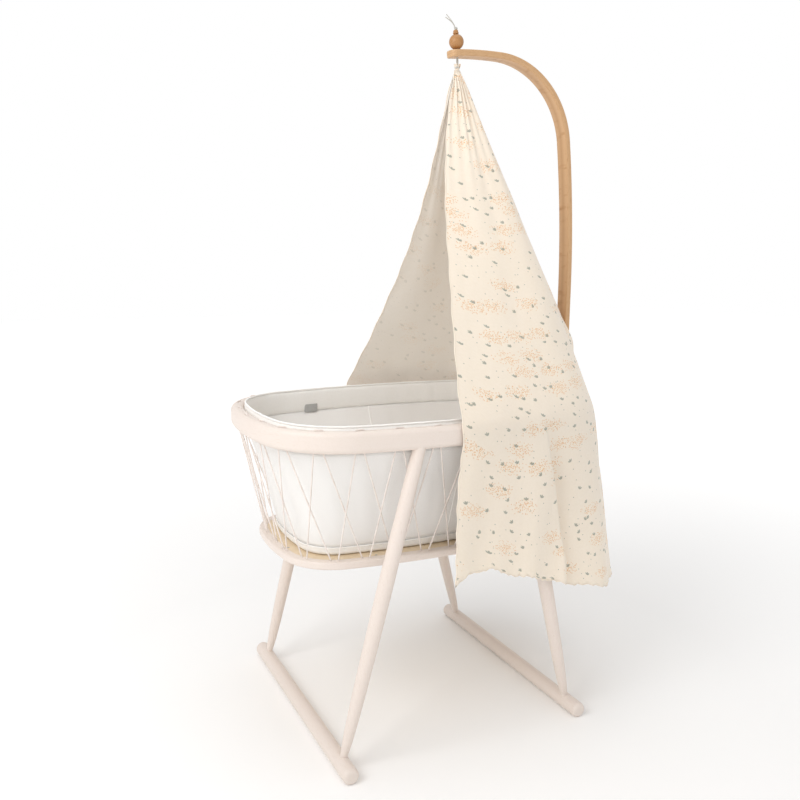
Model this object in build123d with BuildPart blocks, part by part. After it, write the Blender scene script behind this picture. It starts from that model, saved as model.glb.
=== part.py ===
from build123d import *
import os
from math import atan2, copysign, cos, degrees, hypot, radians, sin, sqrt, tan

# Oval hanging-basket bassinet: a thick bent-wood rim on four turned legs and two round floor
# rails, a smaller ring laced under it with cord, a fabric liner with a mattress, and a bent
# laminated pole at the head end that carries a cloth canopy. Millimetres, +Z up, +X from the
# foot end to the head end, origin on the floor below the middle of the whole object.

# ---------------------------------------------------------------- driving dimensions
# top rim: an oval of tangent arcs, sizes on its centre line
rim_half_length = 424.0
rim_half_width = 291.0
rim_side_radius = 1620.0
rim_end_radius = 740.0
rim_corner_radius = 185.0
rim_thickness = 30.0
rim_height = 48.0
rim_underside = 715.0
rim_edge_radius = 12.0

# bottom ring, sizes on its centre line
ring_half_length = 364.0
ring_half_width = 212.0
ring_side_radius = 1600.0
ring_end_radius = 640.0
ring_corner_radius = 115.0
ring_thickness = 30.0
ring_height = 18.0
ring_underside = 436.0
ring_edge_radius = 5.0

# lacing
lace_pairs = 28
cord_diameter = 3.5
cord_bend = 3.0
run_bend = 10.0             # radius where a cord leaves its vertical hole
cord_lift = 0.1             # gap between the cord and the wood it lies on
lace_hole_diameter = 4.2
lace_hole_ease = 1.0        # countersink at each mouth
rim_pair_spacing = 20.0
ring_pair_spacing = 17.0
lace_stagger = 2.0          # crossing cords pass this far outside and inside the centre line

# base under the mattress
base_thickness = 9.0
base_rebate = 10.0
base_gap = 0.5
vent_diameter = 30.0
vent_pitch_x = 105.0
vent_pitch_y = 95.0
vent_count_x = 5
vent_count_y = 3
base_screw_count = 8
base_screw_diameter = 3.0
base_screw_head = 6.0
base_screw_length = 14.0

# liner and mattress
tape_height = 25.0
tape_thickness = 1.5
band_thickness = 7.0
band_edge_radius = 2.8
band_top = 765.0
band_bottom = 709.0
piping_diameter = 5.0
mesh_thickness = 1.5
floor_thickness = 2.0
floor_edge_height = 20.0
floor_inset = 12.0          # from the ring's inner face to the liner
floor_corner = 8.0
label_width = 38.0
label_height = 21.0
label_thickness = 0.8
label_x = -176.0            # from the middle of the basket
label_lift = 8.0            # from the lower edge of the band to the middle of the label
label_gap = 0.3             # behind the label, taken up by its stitching
mattress_thickness = 50.0
mattress_gap = 3.0
mattress_lift = 0.3
mattress_edge_radius = 14.0

# legs and rails
rail_spacing = 610.0
rail_length = 660.0
rail_diameter = 37.0
rail_flat = 12.0            # width of the flat planed along the underside
rail_end_radius = 9.0
leg_foot_y = 272.0
leg_top_x = 130.0
leg_top_y = 286.0
leg_foot_diameter = 16.6
leg_middle_diameter = 34.6
leg_top_diameter = 27.0
leg_swell = ((0.12, 0.75), (0.32, 0.924), (0.56, 1.0), (0.80, 0.928))  # shares of length, middle
leg_foot_slope = 0.12
leg_top_slope = -0.03
leg_tenon_diameter = 18.0
leg_tenon_length = 30.0
leg_tenon_root = 10.0       # tenon drawn from this far inside the leg
leg_socket_depth = 22.0
fit_gap = 0.1               # radial gap of a glued tenon or a seated insert
screw_diameter = 5.8
screw_head_diameter = 11.0
screw_head_height = 4.0
hex_radius = 2.0            # corner radius of every hexagon socket
hex_depth = 2.4
screw_seat = 7.0            # depth of the head's counterbore in the rail
screw_length = 27.0
insert_diameter = 9.0
insert_length = 20.0

# canopy pole
pole_top = 1614.0           # highest point of the outer face
pole_reach = 466.0          # outer face of the upright, from the middle of the basket
pole_shoulder_radius = 220.0
pole_shoulder_angle = 83.0
pole_bow_radius = 3200.0
pole_arm_radius = 1100.0
pole_arm_length = 136.0
pole_thickness = 15.0
pole_width = 39.0
pole_edge_radius = 2.5
pole_tip_radius = 12.0
pole_foot = 690.0
pole_hole_diameter = 7.0
pole_hole_inset = 22.0      # from the arm's tip
block_width = 42.0
block_overlap = 6.0         # how far the block's blank reaches into the rim before coping
bolt_diameter = 6.0
bolt_spacing = 20.0
bolt_head_diameter = 13.0
bolt_head_height = 4.0
nut_diameter = 9.0
nut_head_diameter = 13.0
nut_head_height = 3.0
nut_length = 20.0
bolt_tip_gap = 4.0          # from the nut's flange to the tip of its bolt

# finial and canopy
collar_diameter = 21.0
collar_height = 2.0
collar_edge = 0.4
ball_diameter = 35.0
bead_diameter = 14.0
bead_height = 9.0
bead_round = 1.5
bead_groove = 1.0
bead_crown = 2.5
finial_bore = 5.6
hanging_cord_diameter = 5.0
knot_diameter = 9.0
knot_seat = 0.5             # how far the knot settles into the bead's hole
cord_turn = 30.0            # radius where the cord leaves the arm
tail_diameter = 2.4
tail_root = 0.2             # how far each free end starts inside the knot
tail_bend_share = 0.45      # part of the shorter run taken up by each bend
tail_routes = {
    "cord_tail_front": [(0, 0, 0), (-8, -3, 7), (-18, -4, 13), (-28, -3, 17)],
    "cord_tail_back": [(0, 0, 0), (-4, 3, 9), (-11, 5, 18), (-21, 5, 26)],
}
neck_diameter = 16.0
neck_height = 14.0
neck_top = 1578.0
neck_edge_radius = 3.0
neck_gap = 2.0              # between the binding and the cloth's top edge
neck_ring = 9.0             # radius of the cloth where it is gathered
neck_wrap = 330.0           # angle it takes up there
cloth_thickness = 3.0
cloth_shoulder = 900.0      # height at which the cloth reaches the pole
cloth_over_rim = 5.0        # cloth's outer face outside the rim's outer face
cloth_over_pole = 8.0
cloth_beside_pole = 10.0
cloth_above_rim = 6.0       # height over the rim at which the cloth starts to lean inwards
cloth_flare = 36.0
hem_level = 300.0           # lowest part of the hem, at the head end
hem_points = ((-60, 402), (0, 426), (104, 404), (178, 382), (257, 355), (400, 318), (470, 300))
slit_gap = 4.0
slit_bottom = 845.0
slit_top = 965.0
slit_cut = 90.0             # reach of the slit's cutter across the cloth
hem_margin = 20.0           # how far below the lowest hem its cutter starts
# places round the rim, in lacing pairs, where the near half of the cloth hangs over it
near_stations = (20.45, 21.4, 22.4, 23.2, 23.8, 24.3, 24.8, 25.3, 25.9, 26.6)

# middle of the basket, measured from the middle of the whole object's length
hem_reach = pole_reach + cloth_over_pole + cloth_flare
basket_x = (rim_half_length + rim_thickness / 2 - hem_reach) / 2

os.makedirs("parts", exist_ok=True)


# ---------------------------------------------------------------- ovals
def oval_arcs(half_length, half_width, side_radius, end_radius, corner_radius):
    """Arcs of an oval as (centre x, centre y, radius, start angle, arc size), from the head end."""
    end_x = half_length - end_radius
    side_y = half_width - side_radius
    span = hypot(end_x, side_y)
    to_end = end_radius - corner_radius
    to_side = side_radius - corner_radius
    along = (to_end**2 - to_side**2 + span**2) / (2 * span)
    across = sqrt(to_end**2 - along**2)
    ux, uy = -end_x / span, side_y / span
    corner_x = end_x + ux * along - uy * across
    corner_y = uy * along + ux * across
    if corner_y < 0:
        corner_x = end_x + ux * along + uy * across
        corner_y = uy * along - ux * across
    end_turn = degrees(atan2(corner_y, corner_x - end_x))
    side_turn = degrees(atan2(corner_y - side_y, corner_x))
    bend = side_turn - end_turn
    flank = 180.0 - 2 * side_turn
    arcs = [
        (end_x, 0.0, end_radius, -end_turn, 2 * end_turn),
        (corner_x, corner_y, corner_radius, end_turn, bend),
        (0.0, side_y, side_radius, side_turn, flank),
        (-corner_x, corner_y, corner_radius, 180.0 - side_turn, bend),
        (-end_x, 0.0, end_radius, 180.0 - end_turn, 2 * end_turn),
        (-corner_x, -corner_y, corner_radius, 180.0 + end_turn, bend),
        (0.0, -side_y, side_radius, 180.0 + side_turn, flank),
        (corner_x, -corner_y, corner_radius, 360.0 - side_turn, bend),
    ]
    return [(x + basket_x, y, radius, start, size) for x, y, radius, start, size in arcs]


def draw_oval(arcs, grow):
    """Draw the oval, offset outwards by grow, in the open BuildLine."""
    for x, y, radius, start, size in arcs:
        CenterArc((x, y), radius + grow, start, size)


def oval_face(arcs, height, grow, inner=None):
    """Sketch of the oval at a height; with inner it is the band between two offsets."""
    with BuildSketch(Plane.XY.offset(height), mode=Mode.PRIVATE) as face:
        with BuildLine():
            draw_oval(arcs, grow)
        make_face()
        if inner is not None:
            with BuildLine():
                draw_oval(arcs, inner)
            make_face(mode=Mode.SUBTRACT)
    return face.sketch


def station(arcs, fraction):
    """Point on the centre line and outward normal, a fraction of the way round from the head end."""
    lengths = [radius * radians(size) for _, _, radius, _, size in arcs]
    distance = (fraction % 1.0) * sum(lengths) + lengths[0] / 2
    distance = distance % sum(lengths)
    for (x, y, radius, start, size), length in zip(arcs, lengths):
        if distance <= length:
            break
        distance -= length
    angle = radians(start + size * distance / length)
    normal = Vector(cos(angle), sin(angle), 0)
    return Vector(x, y, 0) + normal * radius, normal


rim_arcs = oval_arcs(
    rim_half_length, rim_half_width, rim_side_radius, rim_end_radius, rim_corner_radius
)
ring_arcs = oval_arcs(
    ring_half_length, ring_half_width, ring_side_radius, ring_end_radius, ring_corner_radius
)
rim_top = rim_underside + rim_height
ring_top = ring_underside + ring_height
rim_outer = rim_thickness / 2
ring_outer = ring_thickness / 2


def hole_pair(arcs, index, spacing, trailing_out=0.0, leading_out=0.0):
    """Trailing and leading hole centres of one lacing pair, each moved outwards by its offset."""
    centre, normal = station(arcs, index / lace_pairs)
    along = Vector(-normal.Y, normal.X, 0) * (spacing / 2)
    return centre - along + normal * trailing_out, centre + along + normal * leading_out


def at(point, height):
    """The point's plan position at a height."""
    return Vector(point.X, point.Y, height)


def crossing_lean(index):
    """+1 or -1: the side on which the cord leaving this rim pair passes the cord it crosses."""
    leaving = at(hole_pair(rim_arcs, index, rim_pair_spacing)[1], rim_underside)
    arriving = at(hole_pair(ring_arcs, index + 1, ring_pair_spacing)[0], ring_top)
    other_high = at(hole_pair(rim_arcs, index + 1, rim_pair_spacing)[0], rim_underside)
    other_low = at(hole_pair(ring_arcs, index, ring_pair_spacing)[1], ring_top)
    across = (arriving - leaving).cross(other_low - other_high)
    return copysign(1.0, (other_high - leaving).dot(across))


leans = [lace_stagger * crossing_lean(i) for i in range(lace_pairs)]
rim_pairs = [
    hole_pair(rim_arcs, i, rim_pair_spacing, -leans[i - 1], leans[i]) for i in range(lace_pairs)
]
ring_pairs = [
    hole_pair(ring_arcs, i, ring_pair_spacing, leans[i - 1], -leans[i]) for i in range(lace_pairs)
]


def lacing_drill(low, high):
    """Cutter for one vertical lacing hole with eased mouths between two heights."""
    narrow = lace_hole_diameter / 2
    wide = narrow + 2 * lace_hole_ease
    with BuildPart() as drill:
        with BuildSketch(Plane.XZ):
            with BuildLine():
                Polyline(
                    (0, low - lace_hole_ease),
                    (wide, low - lace_hole_ease),
                    (narrow, low + lace_hole_ease),
                    (narrow, high - lace_hole_ease),
                    (wide, high + lace_hole_ease),
                    (0, high + lace_hole_ease),
                    close=True,
                )
            make_face()
        revolve(axis=Axis.Z)
    return drill.part


def hole_points(pairs):
    """Plan positions of all the holes in a list of lacing pairs."""
    return [(hole.X, hole.Y) for pair in pairs for hole in pair]


# ---------------------------------------------------------------- leg axes
rail_radius = rail_diameter / 2
flat_drop = rail_radius - sqrt(rail_radius**2 - (rail_flat / 2) ** 2)
rail_axis_height = rail_radius - flat_drop


def leg_axis(side_x, side_y):
    """Foot point on the rail's axis and unit direction up the leg."""
    foot = Vector(basket_x + side_x * rail_spacing / 2, side_y * leg_foot_y, rail_axis_height)
    top = Vector(basket_x + side_x * leg_top_x, side_y * leg_top_y, rim_underside)
    return foot, (top - foot).normalized(), (top - foot).length


leg_names = {
    (-1, -1): "leg_foot_near",
    (-1, 1): "leg_foot_far",
    (1, -1): "leg_head_near",
    (1, 1): "leg_head_far",
}
leg_length = leg_axis(1, 1)[2]

# ---------------------------------------------------------------- top rim
rim_middle = (rim_top + rim_underside) / 2
rim_face_x = basket_x + rim_half_length
bolt_heights = (rim_middle - bolt_spacing / 2, rim_middle + bolt_spacing / 2)

with BuildPart() as rim_blank:
    add(oval_face(rim_arcs, rim_underside, rim_outer, -rim_outer))
    extrude(amount=rim_height)
    fillet(rim_blank.edges().filter_by(Plane.XY), rim_edge_radius)

with BuildPart() as top_rim:
    add(rim_blank.part)
    with Locations(*hole_points(rim_pairs)):
        add(lacing_drill(rim_underside, rim_top), mode=Mode.SUBTRACT)
    for side in leg_names:
        foot, direction, length = leg_axis(*side)
        with BuildSketch(Plane(origin=foot + direction * (length - rim_height / 2), z_dir=direction)):
            Circle(leg_tenon_diameter / 2 + fit_gap)
        extrude(amount=rim_height / 2 + leg_tenon_length, mode=Mode.SUBTRACT)
    for height in bolt_heights:
        with BuildSketch(Plane(origin=(rim_face_x, 0, height), z_dir=(1, 0, 0))):
            Circle(nut_diameter / 2)
        extrude(amount=rim_thickness, both=True, mode=Mode.SUBTRACT)
        seat = rim_face_x - rim_outer + nut_head_height
        with BuildSketch(Plane(origin=(seat, 0, height), z_dir=(-1, 0, 0))):
            Circle(nut_head_diameter / 2 + fit_gap)
        extrude(amount=rim_thickness / 2, mode=Mode.SUBTRACT)
top_rim.part.label = "top_rim"
export_step(top_rim.part, "parts/top_rim.step")

# ---------------------------------------------------------------- bottom ring and base
rebate_wall = -ring_outer + base_rebate
panel_bottom = ring_top - base_thickness
screw_line = -ring_outer + base_rebate / 2
base_screw_points = [
    station(ring_arcs, (k + 0.25) / base_screw_count) for k in range(base_screw_count)
]
base_screw_points = [point + normal * screw_line for point, normal in base_screw_points]

with BuildPart() as bottom_ring:
    add(oval_face(ring_arcs, ring_underside, ring_outer, -ring_outer))
    extrude(amount=ring_height)
    fillet(bottom_ring.edges().filter_by(Plane.XY), ring_edge_radius)
    add(oval_face(ring_arcs, panel_bottom, rebate_wall))
    extrude(amount=base_thickness * 2, mode=Mode.SUBTRACT)
    with Locations(*hole_points(ring_pairs)):
        add(lacing_drill(ring_underside, ring_top), mode=Mode.SUBTRACT)
    with Locations(*[(point.X, point.Y, panel_bottom) for point in base_screw_points]):
        Hole(base_screw_diameter / 2, base_screw_length - base_thickness)
bottom_ring.part.label = "bottom_ring"
export_step(bottom_ring.part, "parts/bottom_ring.step")

with BuildPart() as base_panel:
    add(oval_face(ring_arcs, panel_bottom, rebate_wall - base_gap))
    extrude(amount=base_thickness)
    with Locations((basket_x, 0, ring_top)):
        with GridLocations(vent_pitch_x, vent_pitch_y, vent_count_x, vent_count_y):
            Hole(vent_diameter / 2)
    with Locations(*[(point.X, point.Y, ring_top) for point in base_screw_points]):
        CounterSinkHole(base_screw_diameter / 2, base_screw_head / 2)
base_panel.part.label = "base_panel"
export_step(base_panel.part, "parts/base_panel.step")

with BuildPart() as base_screws:
    head_height = (base_screw_head - base_screw_diameter) / 2
    for point in base_screw_points:
        with BuildSketch(Plane(origin=(point.X, point.Y, ring_top), x_dir=(1, 0, 0), z_dir=(0, -1, 0))):
            with BuildLine():
                Polyline(
                    (0, 0),
                    (base_screw_head / 2, 0),
                    (base_screw_diameter / 2, -head_height),
                    (base_screw_diameter / 2, -base_screw_length),
                    (0, -base_screw_length),
                    close=True,
                )
            make_face()
        revolve(axis=Axis((point.X, point.Y, ring_top), (0, 0, 1)))
base_screws.part.label = "base_screws"
export_step(base_screws.part, "parts/base_screws.step")

# ---------------------------------------------------------------- lacing
over_rim = rim_top + cord_diameter / 2 + cord_lift
under_ring = ring_underside - cord_diameter / 2 - cord_lift
rim_exit = rim_underside - lace_hole_ease
ring_entry = ring_top + lace_hole_ease


def lacing_cord(first_pair):
    """One closed cord that goes over the rim at every second pair and under the ring between."""
    with BuildPart() as cord:
        for i in range(first_pair, lace_pairs, 2):
            rim_from, rim_to = rim_pairs[i], rim_pairs[(i + 2) % lace_pairs]
            below = ring_pairs[(i + 1) % lace_pairs]
            points = [
                at((rim_from[0] + rim_from[1]) / 2, over_rim),
                at(rim_from[1], over_rim),
                at(rim_from[1], rim_exit),
                at(below[0], ring_entry),
                at(below[0], under_ring),
                at(below[1], under_ring),
                at(below[1], ring_entry),
                at(rim_to[0], rim_exit),
                at(rim_to[0], over_rim),
                at((rim_to[0] + rim_to[1]) / 2, over_rim),
            ]
            bends = [cord_bend, run_bend, run_bend, cord_bend, cord_bend, run_bend, run_bend, cord_bend]
            with BuildLine() as route:
                FilletPolyline(*points, radius=bends)
            with BuildSketch(Plane(origin=points[0], z_dir=points[1] - points[0])):
                Circle(cord_diameter / 2)
            sweep(path=route.wire())
    return cord


lacing_cord_a = lacing_cord(0)
lacing_cord_a.part.label = "lacing_cord_a"
export_step(lacing_cord_a.part, "parts/lacing_cord_a.step")

lacing_cord_b = lacing_cord(1)
lacing_cord_b.part.label = "lacing_cord_b"
export_step(lacing_cord_b.part, "parts/lacing_cord_b.step")

# ---------------------------------------------------------------- liner
tape_outer = -rim_outer - fit_gap
band_outer = tape_outer - tape_thickness - fit_gap
band_inner = band_outer - band_thickness
mesh_top_outer = band_outer - band_thickness / 2 + mesh_thickness / 2
floor_bottom = ring_top + fit_gap
floor_top = floor_bottom + floor_edge_height
floor_outer = -ring_outer - floor_inset

with BuildPart() as rim_tape:
    add(oval_face(rim_arcs, rim_middle - tape_height / 2, tape_outer, tape_outer - tape_thickness))
    extrude(amount=tape_height)
rim_tape.part.label = "rim_tape"
export_step(rim_tape.part, "parts/rim_tape.step")

with BuildPart() as liner_band:
    add(oval_face(rim_arcs, band_bottom, band_outer, band_inner))
    extrude(amount=band_top - band_bottom)
    fillet(liner_band.edges().filter_by(Plane.XY), band_edge_radius)
liner_band.part.label = "liner_band"
export_step(liner_band.part, "parts/liner_band.step")

with BuildPart() as liner_piping:
    piping_line = (band_outer + band_inner) / 2
    piping_height = band_top + piping_diameter / 2 + fit_gap
    with BuildLine(Plane.XY.offset(piping_height)) as piping_path:
        draw_oval(rim_arcs, piping_line)
    with BuildSketch(Plane(origin=piping_path.wire() @ 0, z_dir=piping_path.wire() % 0)):
        Circle(piping_diameter / 2)
    sweep(path=piping_path.wire())
liner_piping.part.label = "liner_piping"
export_step(liner_piping.part, "parts/liner_piping.step")

with BuildPart() as liner_mesh:
    mesh_bottom = floor_top + fit_gap
    mesh_high = band_bottom - fit_gap
    for thinner in (0.0, mesh_thickness):
        low_face = oval_face(ring_arcs, mesh_bottom, floor_outer - thinner)
        high_face = oval_face(rim_arcs, mesh_high, mesh_top_outer - thinner)
        loft(
            sections=[low_face.face(), high_face.face()],
            ruled=True,
            mode=Mode.SUBTRACT if thinner else Mode.ADD,
        )
liner_mesh.part.label = "liner_mesh"
export_step(liner_mesh.part, "parts/liner_mesh.step")


def tray(bottom, outer, corner):
    """Flat-bottomed oval block with a rounded lower edge, floor_edge_height high."""
    with BuildPart() as block:
        add(oval_face(ring_arcs, bottom, outer))
        extrude(amount=floor_edge_height)
        fillet(block.edges().group_by(Axis.Z)[0], corner)
    return block.part


with BuildPart() as liner_floor:
    add(tray(floor_bottom, floor_outer, floor_corner))
    hollow = tray(
        floor_bottom + floor_thickness, floor_outer - floor_thickness, floor_corner - floor_thickness
    )
    add(hollow, mode=Mode.SUBTRACT)
liner_floor.part.label = "liner_floor"
export_step(liner_floor.part, "parts/liner_floor.step")

with BuildPart() as mattress:
    mattress_bottom = floor_bottom + floor_thickness + mattress_lift
    add(oval_face(ring_arcs, mattress_bottom, floor_outer - floor_thickness - mattress_gap))
    extrude(amount=mattress_thickness)
    fillet(mattress.edges().filter_by(Plane.XY), mattress_edge_radius)
mattress.part.label = "mattress"
export_step(mattress.part, "parts/mattress.step")

with BuildPart() as liner_label:
    wall_radius = rim_side_radius + band_inner
    wall_run = sqrt(wall_radius**2 - label_x**2)
    wall_y = rim_half_width - rim_side_radius + wall_run
    label_plane = Plane(
        origin=(basket_x + label_x, wall_y - label_gap, band_bottom + label_lift),
        x_dir=(wall_run, -label_x, 0),
        z_dir=(-label_x, -wall_run, 0),
    )
    with BuildSketch(label_plane):
        Rectangle(label_width, label_height)
    extrude(amount=label_thickness)
liner_label.part.label = "liner_label"
export_step(liner_label.part, "parts/liner_label.step")

# ---------------------------------------------------------------- rails
for side_x, name in ((-1, "rail_foot_end"), (1, "rail_head_end")):
    rail_x = basket_x + side_x * rail_spacing / 2
    with BuildPart() as rail:
        with BuildSketch(Plane(origin=(rail_x, -rail_length / 2, rail_axis_height), z_dir=(0, 1, 0))):
            Circle(rail_radius)
        extrude(amount=rail_length)
        fillet(rail.edges().filter_by(GeomType.CIRCLE), rail_end_radius)
        with BuildSketch(Plane.XY):
            with Locations((rail_x, 0)):
                Rectangle(rail_diameter, rail_length)
        extrude(amount=-rail_radius, mode=Mode.SUBTRACT)
        for side_y in (-1, 1):
            foot, direction, _ = leg_axis(side_x, side_y)
            tenon_end = rail_radius - leg_socket_depth
            with BuildSketch(Plane(origin=foot + direction * tenon_end, z_dir=direction)):
                Circle(leg_foot_diameter / 2 + fit_gap)
            extrude(amount=rail_diameter, mode=Mode.SUBTRACT)
            with BuildSketch(Plane(origin=foot, z_dir=-direction)):
                Circle(screw_diameter / 2 + fit_gap)
            extrude(amount=rail_diameter, mode=Mode.SUBTRACT)
            head_seat = rail_radius - screw_seat
            with BuildSketch(Plane(origin=foot - direction * head_seat, z_dir=-direction)):
                Circle(screw_head_diameter / 2 + fit_gap * 2)
            extrude(amount=rail_diameter, mode=Mode.SUBTRACT)
    rail.part.label = name
    export_step(rail.part, f"parts/{name}.step")

# ---------------------------------------------------------------- legs
leg_tip = rail_radius - leg_socket_depth
for side, name in leg_names.items():
    foot, direction, length = leg_axis(*side)
    profile_plane = Plane(origin=foot, x_dir=direction, z_dir=direction.cross(Vector(0, 0, 1)))
    with BuildPart() as leg:
        with BuildSketch(profile_plane):
            with BuildLine():
                Line((leg_tip, 0), (leg_tip, leg_foot_diameter / 2))
                Line((leg_tip, leg_foot_diameter / 2), (rail_radius, leg_foot_diameter / 2))
                Spline(
                    (rail_radius, leg_foot_diameter / 2),
                    *[(length * up, leg_middle_diameter / 2 * swell) for up, swell in leg_swell],
                    (length + rim_height / 2, leg_top_diameter / 2),
                    tangents=((1, leg_foot_slope), (1, leg_top_slope)),
                )
                Line(
                    (length + rim_height / 2, leg_top_diameter / 2),
                    (length + rim_height / 2, 0),
                )
                Line((length + rim_height / 2, 0), (leg_tip, 0))
            make_face()
        revolve(axis=Axis(foot, direction))
        add(rim_blank.part, mode=Mode.SUBTRACT)
        with BuildSketch(Plane(origin=foot + direction * (length - leg_tenon_root), z_dir=direction)):
            Circle(leg_tenon_diameter / 2)
        extrude(amount=leg_tenon_root + leg_tenon_length)
        with BuildSketch(Plane(origin=foot + direction * leg_tip, z_dir=direction)):
            Circle(insert_diameter / 2 + fit_gap)
        extrude(amount=insert_length, mode=Mode.SUBTRACT)
    leg.part.label = name
    export_step(leg.part, f"parts/{name}.step")

with BuildPart() as leg_inserts:
    for side in leg_names:
        foot, direction, _ = leg_axis(*side)
        with BuildSketch(Plane(origin=foot + direction * leg_tip, z_dir=direction)):
            Circle(insert_diameter / 2)
            Circle(screw_diameter / 2 + fit_gap, mode=Mode.SUBTRACT)
        extrude(amount=insert_length)
leg_inserts.part.label = "leg_inserts"
export_step(leg_inserts.part, "parts/leg_inserts.step")

with BuildPart() as rail_screws:
    head_seat = rail_radius - screw_seat
    for side in leg_names:
        foot, direction, _ = leg_axis(*side)
        with BuildSketch(Plane(origin=foot - direction * head_seat, z_dir=-direction)):
            Circle(screw_head_diameter / 2)
        extrude(amount=screw_head_height)
        with BuildSketch(Plane(origin=foot - direction * head_seat, z_dir=direction)):
            Circle(screw_diameter / 2)
        extrude(amount=screw_length)
        with BuildSketch(
            Plane(origin=foot - direction * (head_seat + screw_head_height), z_dir=direction)
        ):
            RegularPolygon(hex_radius, 6)
        extrude(amount=hex_depth, mode=Mode.SUBTRACT)
rail_screws.part.label = "rail_screws"
export_step(rail_screws.part, "parts/rail_screws.step")

# ---------------------------------------------------------------- canopy pole
pole_middle = pole_thickness / 2
pole_upright_x = basket_x + pole_reach - pole_middle
bow_turn = radians(90.0 - pole_shoulder_angle)
bow_drop = (pole_bow_radius - pole_middle) * sin(bow_turn)
bow_rise = (pole_bow_radius - pole_middle) * (1 - cos(bow_turn))
shoulder = pole_shoulder_radius - pole_middle
crown_x = pole_upright_x - bow_rise - shoulder * sin(radians(pole_shoulder_angle))
crown_z = pole_top - pole_middle
shoulder_low = crown_z - shoulder * (1 - cos(radians(pole_shoulder_angle)))
upright_top = shoulder_low - bow_drop
arm_radius = pole_arm_radius - pole_middle
arm_turn = degrees(pole_arm_length / arm_radius)


def arm_point(inset, lift):
    """Point above the arm's middle line, measured back from its tip, and the arm's normal."""
    turn = (pole_arm_length - inset) / arm_radius
    normal = Vector(-sin(turn), 0, cos(turn))
    centre = Vector(crown_x, 0, crown_z - arm_radius)
    return centre + normal * (arm_radius + lift), normal


with BuildPart() as canopy_pole:
    with BuildSketch(Plane.XZ):
        with BuildLine() as pole_path:
            CenterArc((crown_x, crown_z - arm_radius), arm_radius, 90 + arm_turn, -arm_turn)
            CenterArc((crown_x, crown_z - shoulder), shoulder, 90, -pole_shoulder_angle)
            CenterArc(
                (pole_upright_x - pole_bow_radius + pole_middle, upright_top),
                pole_bow_radius - pole_middle,
                90 - pole_shoulder_angle,
                -(90 - pole_shoulder_angle),
            )
            Line((pole_upright_x, upright_top), (pole_upright_x, pole_foot))
        trace(line_width=pole_thickness)
    extrude(amount=pole_width / 2, both=True)
    tip, tip_normal = arm_point(0, 0)
    fillet(canopy_pole.edges().filter_by(Axis(tip, tip_normal)).sort_by(Axis.X)[:2], pole_tip_radius)
    long_edges = canopy_pole.edges().filter_by(Plane.XZ)
    fillet(long_edges, pole_edge_radius)
    hole_centre, hole_axis = arm_point(pole_hole_inset, 0)
    with BuildSketch(Plane(origin=hole_centre, z_dir=hole_axis)):
        Circle(pole_hole_diameter / 2)
    extrude(amount=pole_thickness, both=True, mode=Mode.SUBTRACT)
    for height in bolt_heights:
        with BuildSketch(Plane(origin=(pole_upright_x, 0, height), z_dir=(1, 0, 0))):
            Circle(bolt_diameter / 2 + fit_gap)
        extrude(amount=pole_thickness, both=True, mode=Mode.SUBTRACT)
canopy_pole.part.label = "canopy_pole"
export_step(canopy_pole.part, "parts/canopy_pole.step")

pole_inner_x = pole_upright_x - pole_middle
pole_outer_x = pole_upright_x + pole_middle
rim_outer_x = rim_face_x + rim_outer

with BuildPart() as pole_block:
    blank_depth = pole_inner_x - rim_outer_x + block_overlap
    with BuildSketch(Plane(origin=(pole_inner_x, 0, rim_middle), x_dir=(0, 1, 0), z_dir=(-1, 0, 0))):
        Rectangle(block_width, rim_height)
    extrude(amount=blank_depth)
    fillet(pole_block.edges().filter_by(Axis.X), pole_edge_radius)
    add(rim_blank.part, mode=Mode.SUBTRACT)
    for height in bolt_heights:
        with BuildSketch(Plane(origin=(pole_inner_x, 0, height), z_dir=(-1, 0, 0))):
            Circle(bolt_diameter / 2 + fit_gap)
        extrude(amount=blank_depth, mode=Mode.SUBTRACT)
pole_block.part.label = "pole_block"
export_step(pole_block.part, "parts/pole_block.step")

nut_face = rim_face_x - rim_outer
bolt_tip = nut_face + nut_head_height + bolt_tip_gap
with BuildPart() as pole_nuts:
    for height in bolt_heights:
        with BuildSketch(Plane(origin=(nut_face + fit_gap, 0, height), z_dir=(1, 0, 0))):
            Circle(nut_head_diameter / 2)
        extrude(amount=nut_head_height - fit_gap)
        with BuildSketch(Plane(origin=(nut_face + nut_head_height, 0, height), z_dir=(1, 0, 0))):
            Circle(nut_diameter / 2 - fit_gap)
        extrude(amount=nut_length)
        with BuildSketch(Plane(origin=(bolt_tip, 0, height), z_dir=(1, 0, 0))):
            Circle(bolt_diameter / 2 + fit_gap)
        extrude(amount=nut_length, mode=Mode.SUBTRACT)
pole_nuts.part.label = "pole_nuts"
export_step(pole_nuts.part, "parts/pole_nuts.step")

with BuildPart() as pole_bolts:
    for height in bolt_heights:
        with BuildSketch(Plane(origin=(bolt_tip + fit_gap, 0, height), z_dir=(1, 0, 0))):
            Circle(bolt_diameter / 2)
        extrude(amount=pole_outer_x - bolt_tip)
        with BuildSketch(Plane(origin=(pole_outer_x + fit_gap, 0, height), z_dir=(1, 0, 0))):
            Circle(bolt_head_diameter / 2)
        extrude(amount=bolt_head_height)
        head_face = pole_outer_x + fit_gap + bolt_head_height
        with BuildSketch(Plane(origin=(head_face, 0, height), z_dir=(-1, 0, 0))):
            RegularPolygon(hex_radius, 6)
        extrude(amount=hex_depth, mode=Mode.SUBTRACT)
pole_bolts.part.label = "pole_bolts"
export_step(pole_bolts.part, "parts/pole_bolts.step")

# ---------------------------------------------------------------- finial
arm_top, arm_normal = arm_point(pole_hole_inset, pole_middle + fit_gap)
arm_under, _ = arm_point(pole_hole_inset, -pole_middle)


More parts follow.
